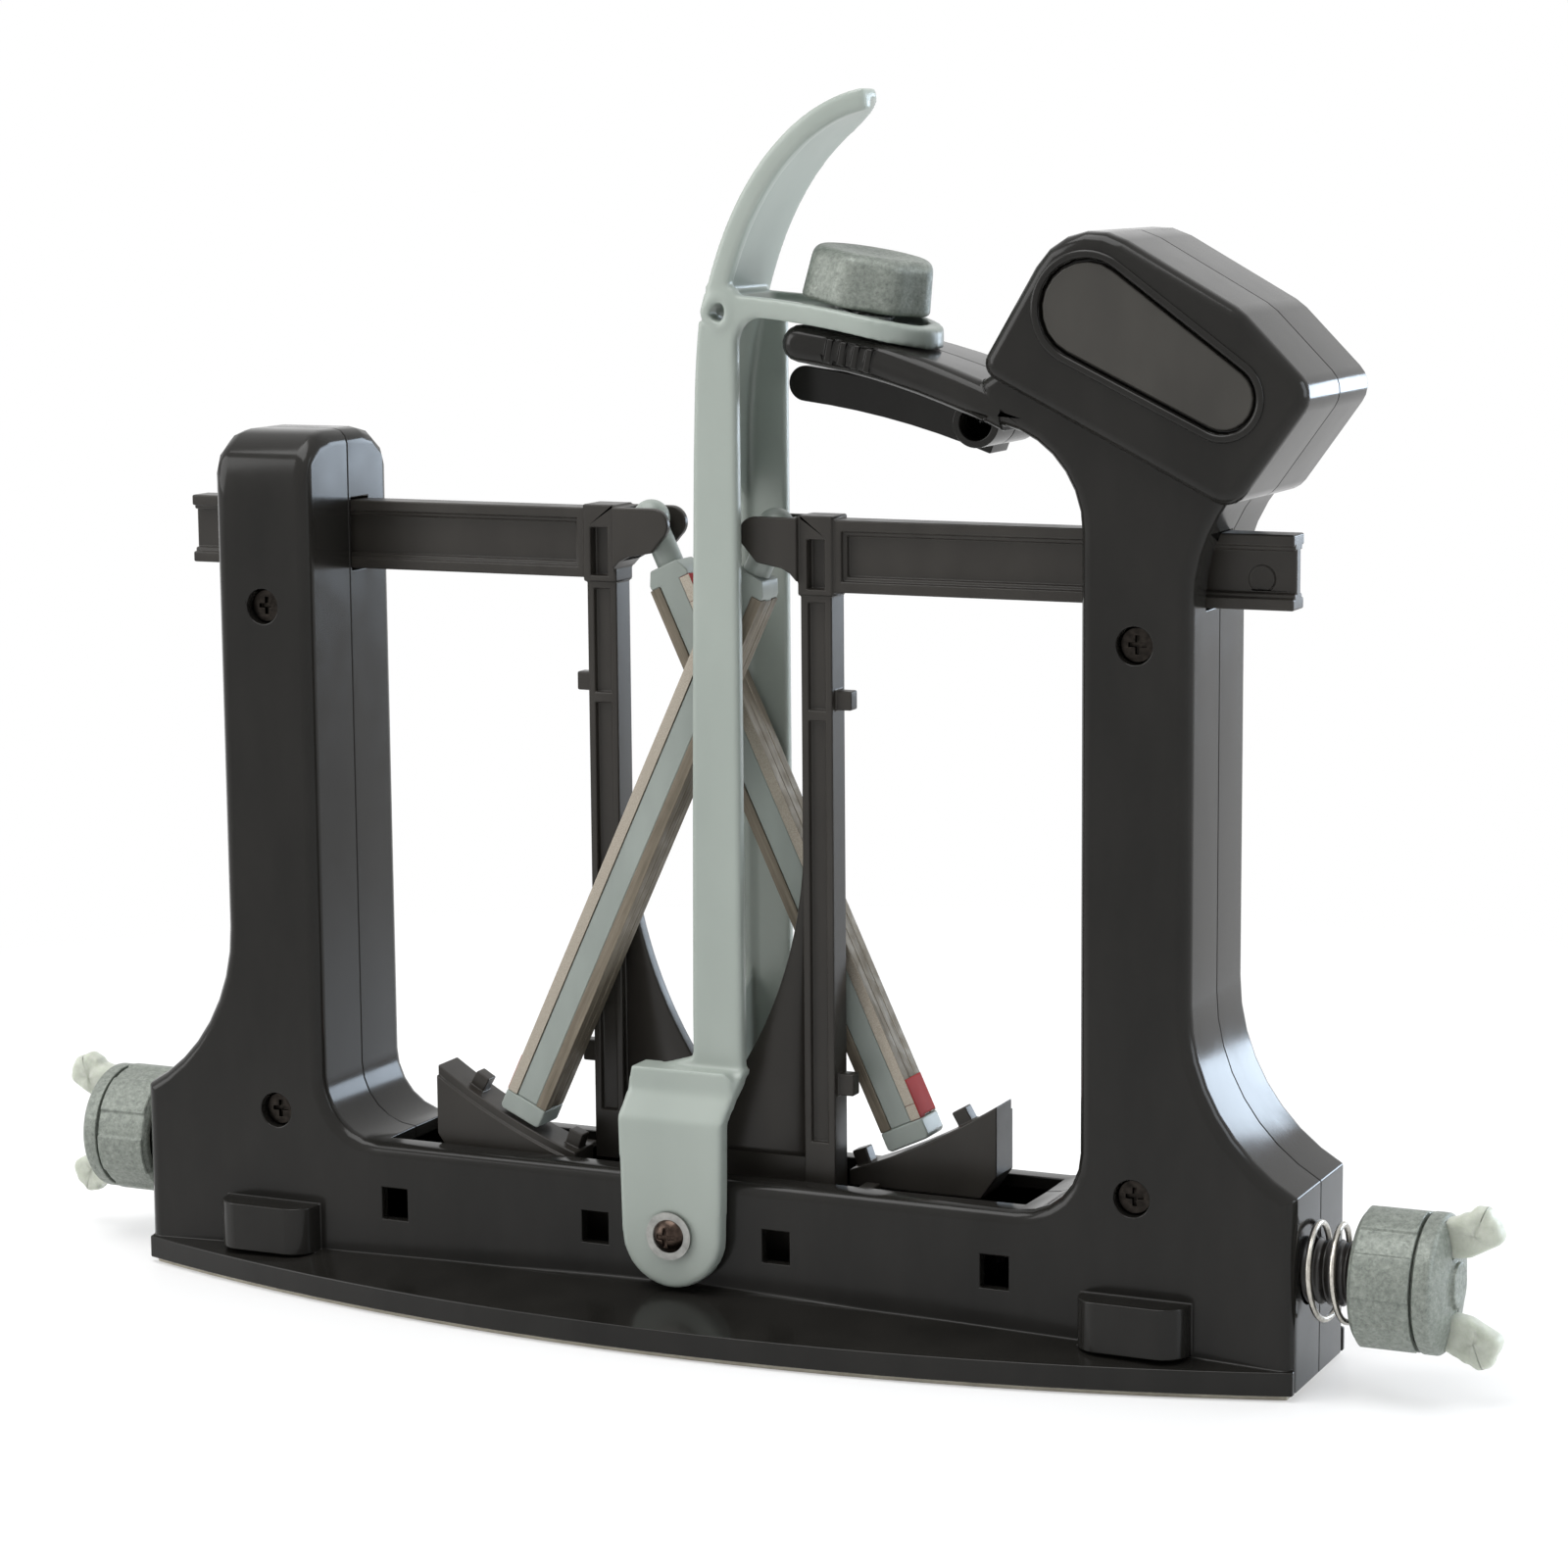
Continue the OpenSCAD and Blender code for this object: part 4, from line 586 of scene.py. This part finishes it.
def hornSolid(values):
    # point = line(u) + d(v) * inward(u) at depth y(v): a thick rim at the front, a sheet behind
    # it; the line is a polynomial of the fourth degree through the marks
    marks = np.array(values["horn"], float)
    length = lengthAlong(marks)
    u = np.linspace(0, length[-1], values["hornSteps"])
    line = np.stack([np.polyval(np.polyfit(length, marks[:, k], values["hornPower"]), u) for k in (0, 1)], 1)
    ahead = unitRows(np.gradient(line, axis=0))
    inward = np.stack([ahead[:, 1], -ahead[:, 0]], 1)
    front, back, footRear, tipRear = (np.full(len(u), k) for k in values["hornY"])
    taper = np.clip((u / length[-1] - values["taperFrom"]) / (1 - values["taperFrom"]), 0, 1) ** 2
    rear = footRear + (tipRear - footRear) * taper
    rim, sheet = values["hornThick"]
    y = np.stack([front, front, back, back, rear, rear], 1)
    d = np.array([0, rim, rim, sheet, sheet, 0])
    flat = line[:, None] + d[None, :, None] * inward[:, None]
    points = np.stack([flat[..., 0], y, flat[..., 1]], -1).reshape(-1, 3)
    n = len(d)
    a = np.arange(len(points) - n)
    b = a - a % n + (a + 1) % n
    sides = np.stack([a, b, b + n, a + n], 1).tolist()
    ring = np.arange(n)
    return points, sides + [ring[::-1].tolist(), (ring + len(points) - n).tolist()]


def leverPlates(values):
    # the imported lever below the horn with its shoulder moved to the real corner, and beside it
    # the shoulder's block and the swept horn
    source = nodes["guide_lever"].data.copy()
    work = mergedWork(source, softening)
    level = values["cut"] * mm
    bmesh.ops.bisect_plane(work, geom=work.verts[:] + work.edges[:] + work.faces[:],
                           plane_co=(0, 0, level), plane_no=(0, 0, 1), clear_outer=True)
    rim = [edge for edge in work.edges
           if edge.is_boundary and all(abs(v.co.z - level) < values["onCut"] * mm for v in edge.verts)]
    bmesh.ops.holes_fill(work, edges=rim, sides=0)
    work.to_mesh(source)
    work.free()
    points = readCorners(source)
    x, y, z = points.T.copy()
    points[(x < values["cornerLeftOf"]) & within(z, values["cornerZ"]), 0] = values["ledgeX"]
    points[within(z, values["topZ"]), 2] = values["ledgeZ"]
    flare = (x < values["flareLeftOf"]) & (y < values["flareFrontOf"]) & within(z, values["flareZ"])
    points[flare, 2] = values["flareTo"]
    faces = [list(face.vertices) for face in source.polygons]
    for more, sides in (plateSolid(values["block"], values["blockDepth"]), hornSolid(values)):
        faces += [[k + len(points) for k in face] for face in sides]
        points = np.concatenate([points, more])
    return points, faces


def oneSkin(points, faces, voxel):
    # solids that overlap become one closed mesh
    mesh = bpy.data.meshes.new("leverBlank")
    mesh.from_pydata((points * mm).tolist(), [], faces)
    blank = linked("leverBlank", mesh)
    skin = blank.modifiers.new("oneSkin", "REMESH")
    skin.mode = "VOXEL"
    skin.voxel_size = voxel * mm
    mesh = bpy.data.meshes.new_from_object(blank.evaluated_get(bpy.context.evaluated_depsgraph_get()))
    bpy.data.objects.remove(blank)
    return mesh


def drawEdge(mesh, values):
    # the flange's left edge moves to its line, by a shift that fades towards the flange's right
    # edge and towards the rear
    place = readCorners(mesh)
    x, y, z = place.T
    left, right = values["flange"]
    across = np.clip((right - x) / (right - left), 0, 1)
    fadeFrom, fadeTo = values["fadeY"]
    deep = np.clip((fadeFrom - y) / (fadeFrom - fadeTo), 0, 1)
    bands = np.arange(*values["bands"])
    band = np.clip(np.searchsorted(bands, z) - 1, 0, len(bands) - 1)
    edge = np.full(len(bands), np.inf)
    front = (y < values["face"]) & within(z, values["bands"][:2])
    np.minimum.at(edge, band[front], x[front])
    wanted = np.interp(bands, values["edgeZ"], values["edgeX"]) - edge
    wanted = np.convolve(np.pad(wanted, 1, mode="edge"), values["even"], "valid")
    wanted[bands < values["bandsFrom"]] = 0
    shift = np.interp(z, bands, wanted) * across * deep * deep * (3 - 2 * deep)
    shiftX, shiftZ = values["shiftTo"]
    place[:, 0] += np.where((x < shiftX) & (z < shiftZ), shift, 0)
    trim = (y < values["trimY"]) & within(z, values["trimZ"])
    place[trim, 0] = np.maximum(place[trim, 0], np.interp(z[trim], values["edgeZ"], values["edgeX"]))
    moveCorners(mesh, place)


def guideLever(values):
    mesh = oneSkin(*leverPlates(values), values["voxel"])
    drawEdge(mesh, values)
    smoothFaces(mesh)
    mesh.name = "guideLever"
    item = linked("guideLever", mesh)
    calm = item.modifiers.new("softEdges", "SMOOTH")
    calm.factor = values["calm"]
    calm.iterations = values["rounds"]
    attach(item, nodes["guide_lever"]["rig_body"])
    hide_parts("guide_lever")
    return item


wear(guideLever(lever), "sageGrey")

knob = {
    # the clamp knob's axis leans from the lever's pivot; heights are distances from that pivot (mm)
    "pivot": (-1.0, 0.0, 19.0), "lean": 10.6,
    "hub": 5.6, "hubFrom": 176.0, "base": 176.9, "top": 186.7,
    "lowRadius": 12.05, "topRadius": 11.45, "footRound": 0.9, "round": 2.5, "dish": 0.55,
    "hubFoot": (0.3, 0.05),              # small flare where the hub meets the knob
    "pole": 0.4,                         # radius of the flat spots that close both ends
    "lobes": 8, "lobe": 0.32, "lobeFrom": (9.0, 11.0),  # number, height, radii from nothing to whole
    "dishPower": 1.5,                    # how flat the dish is in its middle
    "wallRows": (0.1, 0.9, 7), "arcSteps": 9, "around": 144,
}


def clampKnob(values):
    # r follows a turned profile of height h, and its outer wall swells by lobe * cos(lobes * t)
    lean = radians(values["lean"])
    a = np.linspace(0, np.pi / 2, values["arcSteps"])
    small, large = values["footRound"], values["round"]
    foot = np.stack([values["lowRadius"] - small + small * np.sin(a),
                     values["base"] + small - small * np.cos(a)], 1)
    shoulder = np.stack([values["topRadius"] - large + large * np.cos(a),
                         values["top"] - large + large * np.sin(a)], 1)
    wall = foot[-1] + np.linspace(*values["wallRows"])[:, None] * (shoulder[0] - foot[-1])
    inner = np.linspace(values["topRadius"] - large, values["pole"], values["arcSteps"])[1:]
    deep = values["dish"] * (1 - (inner / inner[0]) ** 2) ** values["dishPower"]
    dish = np.stack([inner, values["top"] - deep], 1)
    wide, low = values["hubFoot"]
    hub = np.array([[values["pole"], values["hubFrom"]], [values["hub"], values["hubFrom"]],
                    [values["hub"], values["base"] - low], [values["hub"] + wide, values["base"]]])
    line = np.concatenate([hub, foot, wall, shoulder, dish])
    t = fullTurn(values["around"])
    lobeFrom, lobeFull = values["lobeFrom"]
    outer = np.clip((line[:, 0] - lobeFrom) / (lobeFull - lobeFrom), 0, 1)[:, None]
    r = line[:, :1] + outer * values["lobe"] * np.cos(values["lobes"] * t)[None, :]
    h = line[:, 1:]
    across = np.array([np.cos(lean), 0, -np.sin(lean)])
    axis = np.array([np.sin(lean), 0, np.cos(lean)])
    side = np.array([0, 1.0, 0])
    return (np.array(values["pivot"]) + h[..., None] * axis
            + (r * np.cos(t))[..., None] * across + (r * np.sin(t))[..., None] * side) * mm


piece = gridPiece("clampKnob", clampKnob(knob), closeV=True, capU=True)
dressed(piece, "knobGrain", nodes["clamp_knob"]["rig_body"])
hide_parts("clamp_knob")

web = {
    # curved web of a carriage: its edge is an arc about a far centre, x and z (mm)
    "centre": (-64.3, 94.6), "radius": 84.97, "plane": -4.3, "half": 1.53, "round": 0.5,
    "from": 33.0, "to": 94.3, "leg": 21.6, "steps": 60, "arcSteps": 5,
}


def curvedWeb(values, way):
    # point = (edge(z) + d(v), plane + e(v), z), where d and e go round a plate's section
    z = np.linspace(values["from"], values["to"], values["steps"])
    edge = values["centre"][0] + np.sqrt(values["radius"] ** 2 - (z - values["centre"][1]) ** 2)
    a = np.linspace(0, np.pi / 2, values["arcSteps"])
    r, half = values["round"], values["half"]
    deep = np.concatenate([[-half], -half + r - r * np.cos(a), (half - r + r * np.sin(a)), [half]])
    near = np.concatenate([[0], r - r * np.sin(a), r - r * np.cos(a), [0]])
    inner = edge[:, None] + near[None, :]
    inner[:, [0, -1]] = values["leg"]
    y = (values["plane"] + deep)[None, :] * np.ones_like(inner)
    return np.stack([way * inner, way * y, z[:, None] * np.ones_like(inner)], -1) * mm


for side, way in rodWays.items():
    piece = gridPiece(side + "Web", curvedWeb(web, way), closeV=True, capU=True)
    dressed(piece, "satinBlack", nodes[side + "_carriage"]["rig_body"])


def onRod(x, y, z, way):
    # a point of the rod's own frame, which hangs down from the head and leans
    lean = radians(rod["lean"])
    across = rod["x"] + x * np.cos(lean) + z * np.sin(lean)
    height = rod["z"] - x * np.sin(lean) + z * np.cos(lean)
    return np.stack([way * across, way * (y - rod["plane"]), height], -1) * mm


sidePlates = {
    # name: x from, x to, half width, top and bottom along the rod from its head (mm), finish,
    # where {} is the rod's side, and slot
    # the coarse and fine side plates wear the dark drawn finish as painted shade, since they face away from
    # the front
    "CoarseSide": (-4.47, -4.1, 1.3, 13.2, rod["reach"], "{}FineStrip", "strip_coarse"),
    "FineSide": (4.1, 4.47, 1.3, 13.2, rod["reach"], "{}FineStrip", "strip_fine"),
    "SideMark": (-4.62, -4.3, 3.72, 116.8, rod["reach"], "markRed", "mark_red"),
}
plateSection = {"around": 16, "square": 0.25, "along": 24}


def sidePlate(x0, x1, half, top, bottom, way):
    # a thin plate on a rod's side: its section is a squared oval, x and y being the powers of
    # cos v and sin v, and is carried along the rod
    z = -np.linspace(top, bottom, plateSection["along"])[:, None]
    v = fullTurn(plateSection["around"]) + np.pi / plateSection["around"]
    section = np.sign([np.cos(v), np.sin(v)]) * np.abs([np.cos(v), np.sin(v)]) ** plateSection["square"]
    x = (x0 + x1) / 2 + (x1 - x0) / 2 * section[0]
    y = half * section[1]
    one = np.ones_like(z)
    return onRod(x[None, :] * one, y[None, :] * one, z * np.ones_like(x)[None, :], way)


for side, way in rodWays.items():
    for part, (x0, x1, half, top, bottom, finish, slot) in sidePlates.items():
        piece = gridPiece(side + part, sidePlate(x0, x1, half, top, bottom, way), closeV=True, capU=True)
        dressed(piece, finish.format(side), nodes[side + "_rod_core"]["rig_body"])
print("lever, knob, webs and strips made")

springs = {
    # piece: node, body at its moving end, x at its fixed and moving end, end of the base, kind (mm)
    "rightOuterCoil": ("right_outer_spring", "right_plunger", 120.3, 138.2, "right", "outer"),
    "leftOuterCoil": ("left_outer_spring", "left_plunger", -120.3, -134.7, "left", "outer"),
    "frontInnerCoil": ("front_inner_spring", "front_carriage", 94.7, 34.3, "right", "inner"),
    "rearInnerCoil": ("rear_inner_spring", "rear_carriage", -91.2, -34.3, "left", "inner"),
}
coils = {
    # coil and wire radius (mm), turns, closed turns at each end
    "outer": {"radius": 8.6, "wire": 0.58, "turns": 4.2, "closed": 0.5},
    "inner": {"radius": 4.4, "wire": 0.6, "turns": 12.0, "closed": 1.1},
}
coilGrid = {"perTurn": 40, "around": 12, "ease": 0.45, "closedGap": 1.04}


def coilWire(x0, x1, y, values):
    # x grows with the turn t by a pitch that is one wire over the closed end turns and
    # wider between them; y = r cos t and z = r sin t, and a round wire follows this line
    wire, turns, radius = values["wire"], values["turns"], values["radius"]
    t = np.linspace(0, turns, int(turns * coilGrid["perTurn"]))
    ease = coilGrid["ease"]
    rise = np.clip(np.minimum(t, turns - t) - values["closed"] + ease, 0, ease) / ease
    rise = rise * rise * (3 - 2 * rise)
    closedPitch = 2 * wire * coilGrid["closedGap"]
    length = abs(x1 - x0) - 2 * wire
    spare = length - closedPitch * turns
    pitch = closedPitch + spare * rise / (np.mean(rise) * turns)
    x = np.concatenate([[0], np.cumsum((pitch[1:] + pitch[:-1]) / 2 * np.diff(t))])
    x = x0 + np.sign(x1 - x0) * (wire + x / x[-1] * length)
    a = 2 * np.pi * t
    line = np.stack([x, y + radius * np.cos(a), screwZ + radius * np.sin(a)], 1)
    ahead = unitRows(np.gradient(line, axis=0))
    out = np.stack([np.zeros_like(a), np.cos(a), np.sin(a)], 1)
    across = np.cross(ahead, out)
    v = fullTurn(coilGrid["around"])
    return (line[:, None] + wire * (np.cos(v)[None, :, None] * out[:, None]
                                    + np.sin(v)[None, :, None] * across[:, None])) * mm


for name, (node, mover, x0, x1, side, kind) in springs.items():
    y = tension[side]["y"]
    piece = gridPiece(name, coilWire(x0, x1, y, coils[kind]), closeV=True, capU=True)
    wear(piece, "springSteel")
    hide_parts(node)
    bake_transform(piece)

thread = {
    "inner": {"right": 99.0, "left": -95.5},   # x of the screw's inner end, mm
    "outer": 6.0, "deep": 0.55, "pitch": 2.0,  # crest radius, depth and pitch, mm
    "crest": 0.7, "runOut": 0.8, "endDepth": 1.4,
    "perMm": 9, "around": 64,
}


def ribbedScrew(x0, x1, y, values):
    # r = outer - deep * (0.5 - 0.5 cos w) ^ crest, where w turns once a pitch and once round
    h = np.linspace(0, abs(x1 - x0), int(abs(x1 - x0) * values["perMm"]))
    t = fullTurn(values["around"])
    w = 2 * np.pi * h[:, None] / values["pitch"] - t[None, :]
    fade = np.clip(np.minimum(h, h[-1] - h) / values["runOut"], 0, 1)[:, None]
    rib = (0.5 - 0.5 * np.cos(w)) ** values["crest"] * fade + (1 - fade) * values["endDepth"]
    r = values["outer"] - values["deep"] * rib
    x = x0 + np.sign(x1 - x0) * h[:, None] * np.ones_like(r)
    return np.stack([x, y + r * np.cos(t), screwZ + r * np.sin(t)], -1) * mm


for side, end in tension.items():
    points = ribbedScrew(thread["inner"][side], end["cupEnd"], end["y"], thread)
    piece = gridPiece(side + "Thread", points, closeV=True, capU=True)
    dressed(piece, "threadBlack", side + "_knob")
    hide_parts(side + "_screw")

grip = {
    # the pad's outline is stretched over two circles: x, z, radius (mm)
    "circles": [(106.5, 178.2, 5.6), (81.5, 193.3, 8.3)],
    "face": 19.5,                        # y of the case's face
    "beadOut": 1.3, "bead": 0.75, "flat": 0.75,  # distance from the pad, radius, height for its radius
    "arcSteps": 28, "straightSteps": 14, "around": 12,
}


def beltLine(values):
    # arcs round two circles, joined by their outer tangents
    (xa, za, ra), (xb, zb, rb) = values["circles"]
    ra, rb = ra + values["beadOut"], rb + values["beadOut"]
    along = np.arctan2(zb - za, xb - xa)
    lean = np.arccos((ra - rb) / np.hypot(xb - xa, zb - za))
    first = np.linspace(along + lean, along + 2 * np.pi - lean, values["arcSteps"])
    second = np.linspace(along - lean, along + lean, values["arcSteps"])
    straight = np.linspace(0, 1, values["straightSteps"])[1:-1, None]
    a = np.stack([xa + ra * np.cos(first), za + ra * np.sin(first)], 1)
    b = np.stack([xb + rb * np.cos(second), zb + rb * np.sin(second)], 1)
    return np.concatenate([a, a[-1] + straight * (b[0] - a[-1]), b, b[-1] + straight * (a[0] - b[-1])])


def closedBead(line, values, out):
    # a flattened round bead whose middle runs along a closed line in x and z on the case's face
    ahead = np.roll(line, -1, 0) - np.roll(line, 1, 0)
    side = unitRows(np.stack([ahead[:, 1], -ahead[:, 0]], 1))
    v = fullTurn(values["around"])
    flat = line[:, None] + values["bead"] * np.cos(v)[None, :, None] * side[:, None]
    lift = out * values["bead"] * values["flat"] * np.sin(v)[None, :]
    deep = out * values["face"] + lift * np.ones(len(line))[:, None]
    return np.stack([flat[..., 0], deep, flat[..., 1]], -1) * mm


for side, out in (("front", -1), ("rear", 1)):
    piece = gridPiece(side + "GripBead", closedBead(beltLine(grip), grip, out), closeU=True, closeV=True)
    dressed(piece, "caseBlack", "housing")

wings = {
    # outline of the upper paddle: x beyond the cup's end, z above the axis, corner radius (mm)
    "corners": [(1.5, 4.5, 0.6), (8.2, 5.6, 0.5), (14.2, 8.9, 1.6), (12.3, 14.0, 1.9), (9.3, 14.9, 1.6),
                (5.2, 12.4, 1.2), (1.5, 11.4, 0.6)],
    "centre": (9.0, 9.8),                # x and z that the outline shrinks to
    "thick": 4.6, "pillow": (0.55, 0.35),  # thickness, and how full its depth and its outline are
    "wave": 0.044, "waveFrom": (9.0, 14.0),  # uneven outer part: share of its size, and z
    "waves": (5, 11), "lessWave": 0.6,   # waves round the outline, and height of the second ones
    "swell": 0.06, "swells": 3,          # uneven thickness: share, and swells round the outline
    "turn": 1.3,                         # how far the second paddle's waves are turned
    "cornerSteps": 9, "around": 96, "across": 19,
    "merge": 0.001,                      # the rows at both poles become one corner, mm
}


def roundedLine(values):
    # each corner becomes an arc that leaves its two sides at the same distance, and the points
    # are then spaced evenly along the closed line
    corners = np.array(values["corners"], float)
    points, radii = corners[:, :2], corners[:, 2]
    back = unitRows(np.roll(points, 1, 0) - points)
    ahead = unitRows(np.roll(points, -1, 0) - points)
    u = np.linspace(0, 1, values["cornerSteps"])[None, :, None]
    start = (points + back * radii[:, None])[:, None]
    end = (points + ahead * radii[:, None])[:, None]
    arc = (1 - u) ** 2 * start + 2 * u * (1 - u) * points[:, None] + u ** 2 * end
    line = arc.reshape(-1, 2)
    closed = np.concatenate([line, line[:1]])
    length = lengthAlong(closed)
    even = np.linspace(0, length[-1], values["around"], endpoint=False)
    return np.stack([np.interp(even, length, closed[:, 0]), np.interp(even, length, closed[:, 1])], 1)


def paddle(end, up, turn, values):
    # point = centre + s(v) * (outline(u) - centre), depth = thick / 2 * sin-like v: a pillow
    line = roundedLine(values)
    centre = np.array(values["centre"])
    v = np.linspace(-np.pi / 2, np.pi / 2, values["across"])
    full, narrow = values["pillow"]
    deep = np.sign(np.sin(v)) * np.abs(np.sin(v)) ** full
    shrink = np.clip(np.cos(v), 0, 1) ** narrow
    a = np.arctan2(line[:, 1] - centre[1], line[:, 0] - centre[0])
    waveFrom, waveFull = values["waveFrom"]
    far = np.clip((line[:, 1] - waveFrom) / (waveFull - waveFrom), 0, 1)
    slow, quick = values["waves"]
    both = np.sin(slow * a + turn) + values["lessWave"] * np.sin(quick * a + 2 * turn)
    wave = 1 + far * values["wave"] * both
    flat = centre + (line - centre)[:, None] * (shrink[None, :] * wave[:, None])[..., None]
    swell = 1 + values["swell"] * np.sin(values["swells"] * a + turn)
    thick = values["thick"] / 2 * swell[:, None] * deep[None, :]
    x = end["cupEnd"] + end["way"] * flat[..., 0]
    return np.stack([x, end["y"] + thick, screwZ + up * flat[..., 1]], -1) * mm


for side, end in tension.items():
    for k, up in enumerate((1, -1)):
        points = paddle(end, up, wings["turn"] * k + end["way"], wings)
        piece = gridPiece(f"{side}Wing{k + 1}", points, closeU=True, merge=wings["merge"])
        dressed(piece, "wingPale", side + "_knob")
    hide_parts(side + "_wings")
print("pieces made")

room = {
    "floorReach": 6.0, "white": 0.93, "floorRough": 0.35, "floorSpecular": 0.25,
    # distance from the object over which the floor turns into plain white, and that white's share
    "clearFrom": 0.16, "clearTo": 0.42, "clearShare": (0.45, 1.0),
    # share of the sky's light on the front's side, and y of its direction where it grows to whole
    "frontLight": 0.14, "frontTo": (-0.75, 0.35),
}
lamps = {
    # name: place, aim, size (m), power (W), colour
    "overhead": ((-0.15, -0.25, 1.1), (0, 0, 0.1), (0.9, 0.7), 9, (1, 1, 1)),
    "leftBox": ((-1.0, -0.7, 0.55), (0, 0, 0.1), (0.7, 0.9), 7, (1, 1, 1)),
    "rightBox": ((1.15, 0.1, 0.5), (0.1, 0, 0.1), (0.5, 0.9), 7, (0.86, 0.93, 1.0)),
    "backBox": ((0.62, 1.15, 0.22), (0.1, 0, 0.1), (0.5, 0.36), 5, (0.72, 0.85, 1.0)),
}


def softLamp(name, place, aim, size, power, colour):
    data = bpy.data.lights.new(name, "AREA")
    data.shape = "RECTANGLE"
    data.size, data.size_y = size
    data.energy = power
    data.color = colour
    item = bpy.data.objects.new(name, data)
    back = np.array(place, float) - np.array(aim, float)
    back /= np.linalg.norm(back)
    side = np.cross([0, 0, 1], back)
    side /= np.linalg.norm(side)
    matrix = np.eye(4)
    matrix[:3, :3] = np.array([side, np.cross(back, side), back]).T
    matrix[:3, 3] = place
    item.matrix_world = matrix.T
    bpy.context.scene.collection.objects.link(item)


def joined(tree, operation, first, second):
    # one number worked out from two
    node = tree.nodes.new("ShaderNodeMath")
    node.operation = operation
    tree.links.new(first, node.inputs[0])
    tree.links.new(second, node.inputs[1])
    return node.outputs[0]


def seenWhite(tree):
    # 1 where the camera, a reflection or a clear material looks at the room, else 0
    ray = tree.nodes.new("ShaderNodeLightPath")
    value = ray.outputs["Is Camera Ray"]
    for way in ("Is Glossy Ray", "Is Transmission Ray"):
        value = joined(tree, "MAXIMUM", value, ray.outputs[way])
    return value


def whiteFloor(values):
    reach = values["floorReach"]
    mesh = bpy.data.meshes.new("floor")
    mesh.from_pydata([(-reach, -reach, 0), (reach, -reach, 0), (reach, reach, 0), (-reach, reach, 0)],
                     [], [(0, 1, 2, 3)])
    item = linked("floor", mesh)
    finish, tree, shader = newFinish("whiteFloor", (values["white"],) * 3, values["floorRough"],
                                     specular=values["floorSpecular"])
    glow = tree.nodes.new("ShaderNodeEmission")
    place = tree.nodes.new("ShaderNodeTexCoord")
    far = tree.nodes.new("ShaderNodeVectorMath")
    far.operation = "LENGTH"
    tree.links.new(place.outputs["Object"], far.inputs[0])
    fade = ranged(tree, far.outputs["Value"], *values["clearShare"], values["clearFrom"], values["clearTo"])
    mix = tree.nodes.new("ShaderNodeMixShader")
    tree.links.new(joined(tree, "MULTIPLY", fade, seenWhite(tree)), mix.inputs[0])
    tree.links.new(shader.outputs["BSDF"], mix.inputs[1])
    tree.links.new(glow.outputs["Emission"], mix.inputs[2])
    tree.links.new(mix.outputs[0], tree.nodes["Material Output"].inputs["Surface"])
    mesh.materials.append(finish)


def studioWorld(values):
    # white all round for what the camera sees; as a light it is darker towards the camera's side
    world = bpy.data.worlds.new("studio")
    bpy.context.scene.world = world
    world.use_nodes = True
    tree = world.node_tree
    sky = setInputs(tree.nodes["Background"], {"Color": (1, 1, 1, 1)})
    place = tree.nodes.new("ShaderNodeTexCoord")
    split = tree.nodes.new("ShaderNodeSeparateXYZ")
    tree.links.new(place.outputs["Generated"], split.inputs[0])
    fall = ranged(tree, split.outputs["Y"], values["frontLight"], 1.0, *values["frontTo"])
    tree.links.new(joined(tree, "MAXIMUM", fall, seenWhite(tree)), sky.inputs["Strength"])


whiteFloor(room)
studioWorld(room)
for name, values in lamps.items():
    softLamp(name, *values)
bpy.context.scene.view_settings.view_transform = "Standard"
print("room lit")
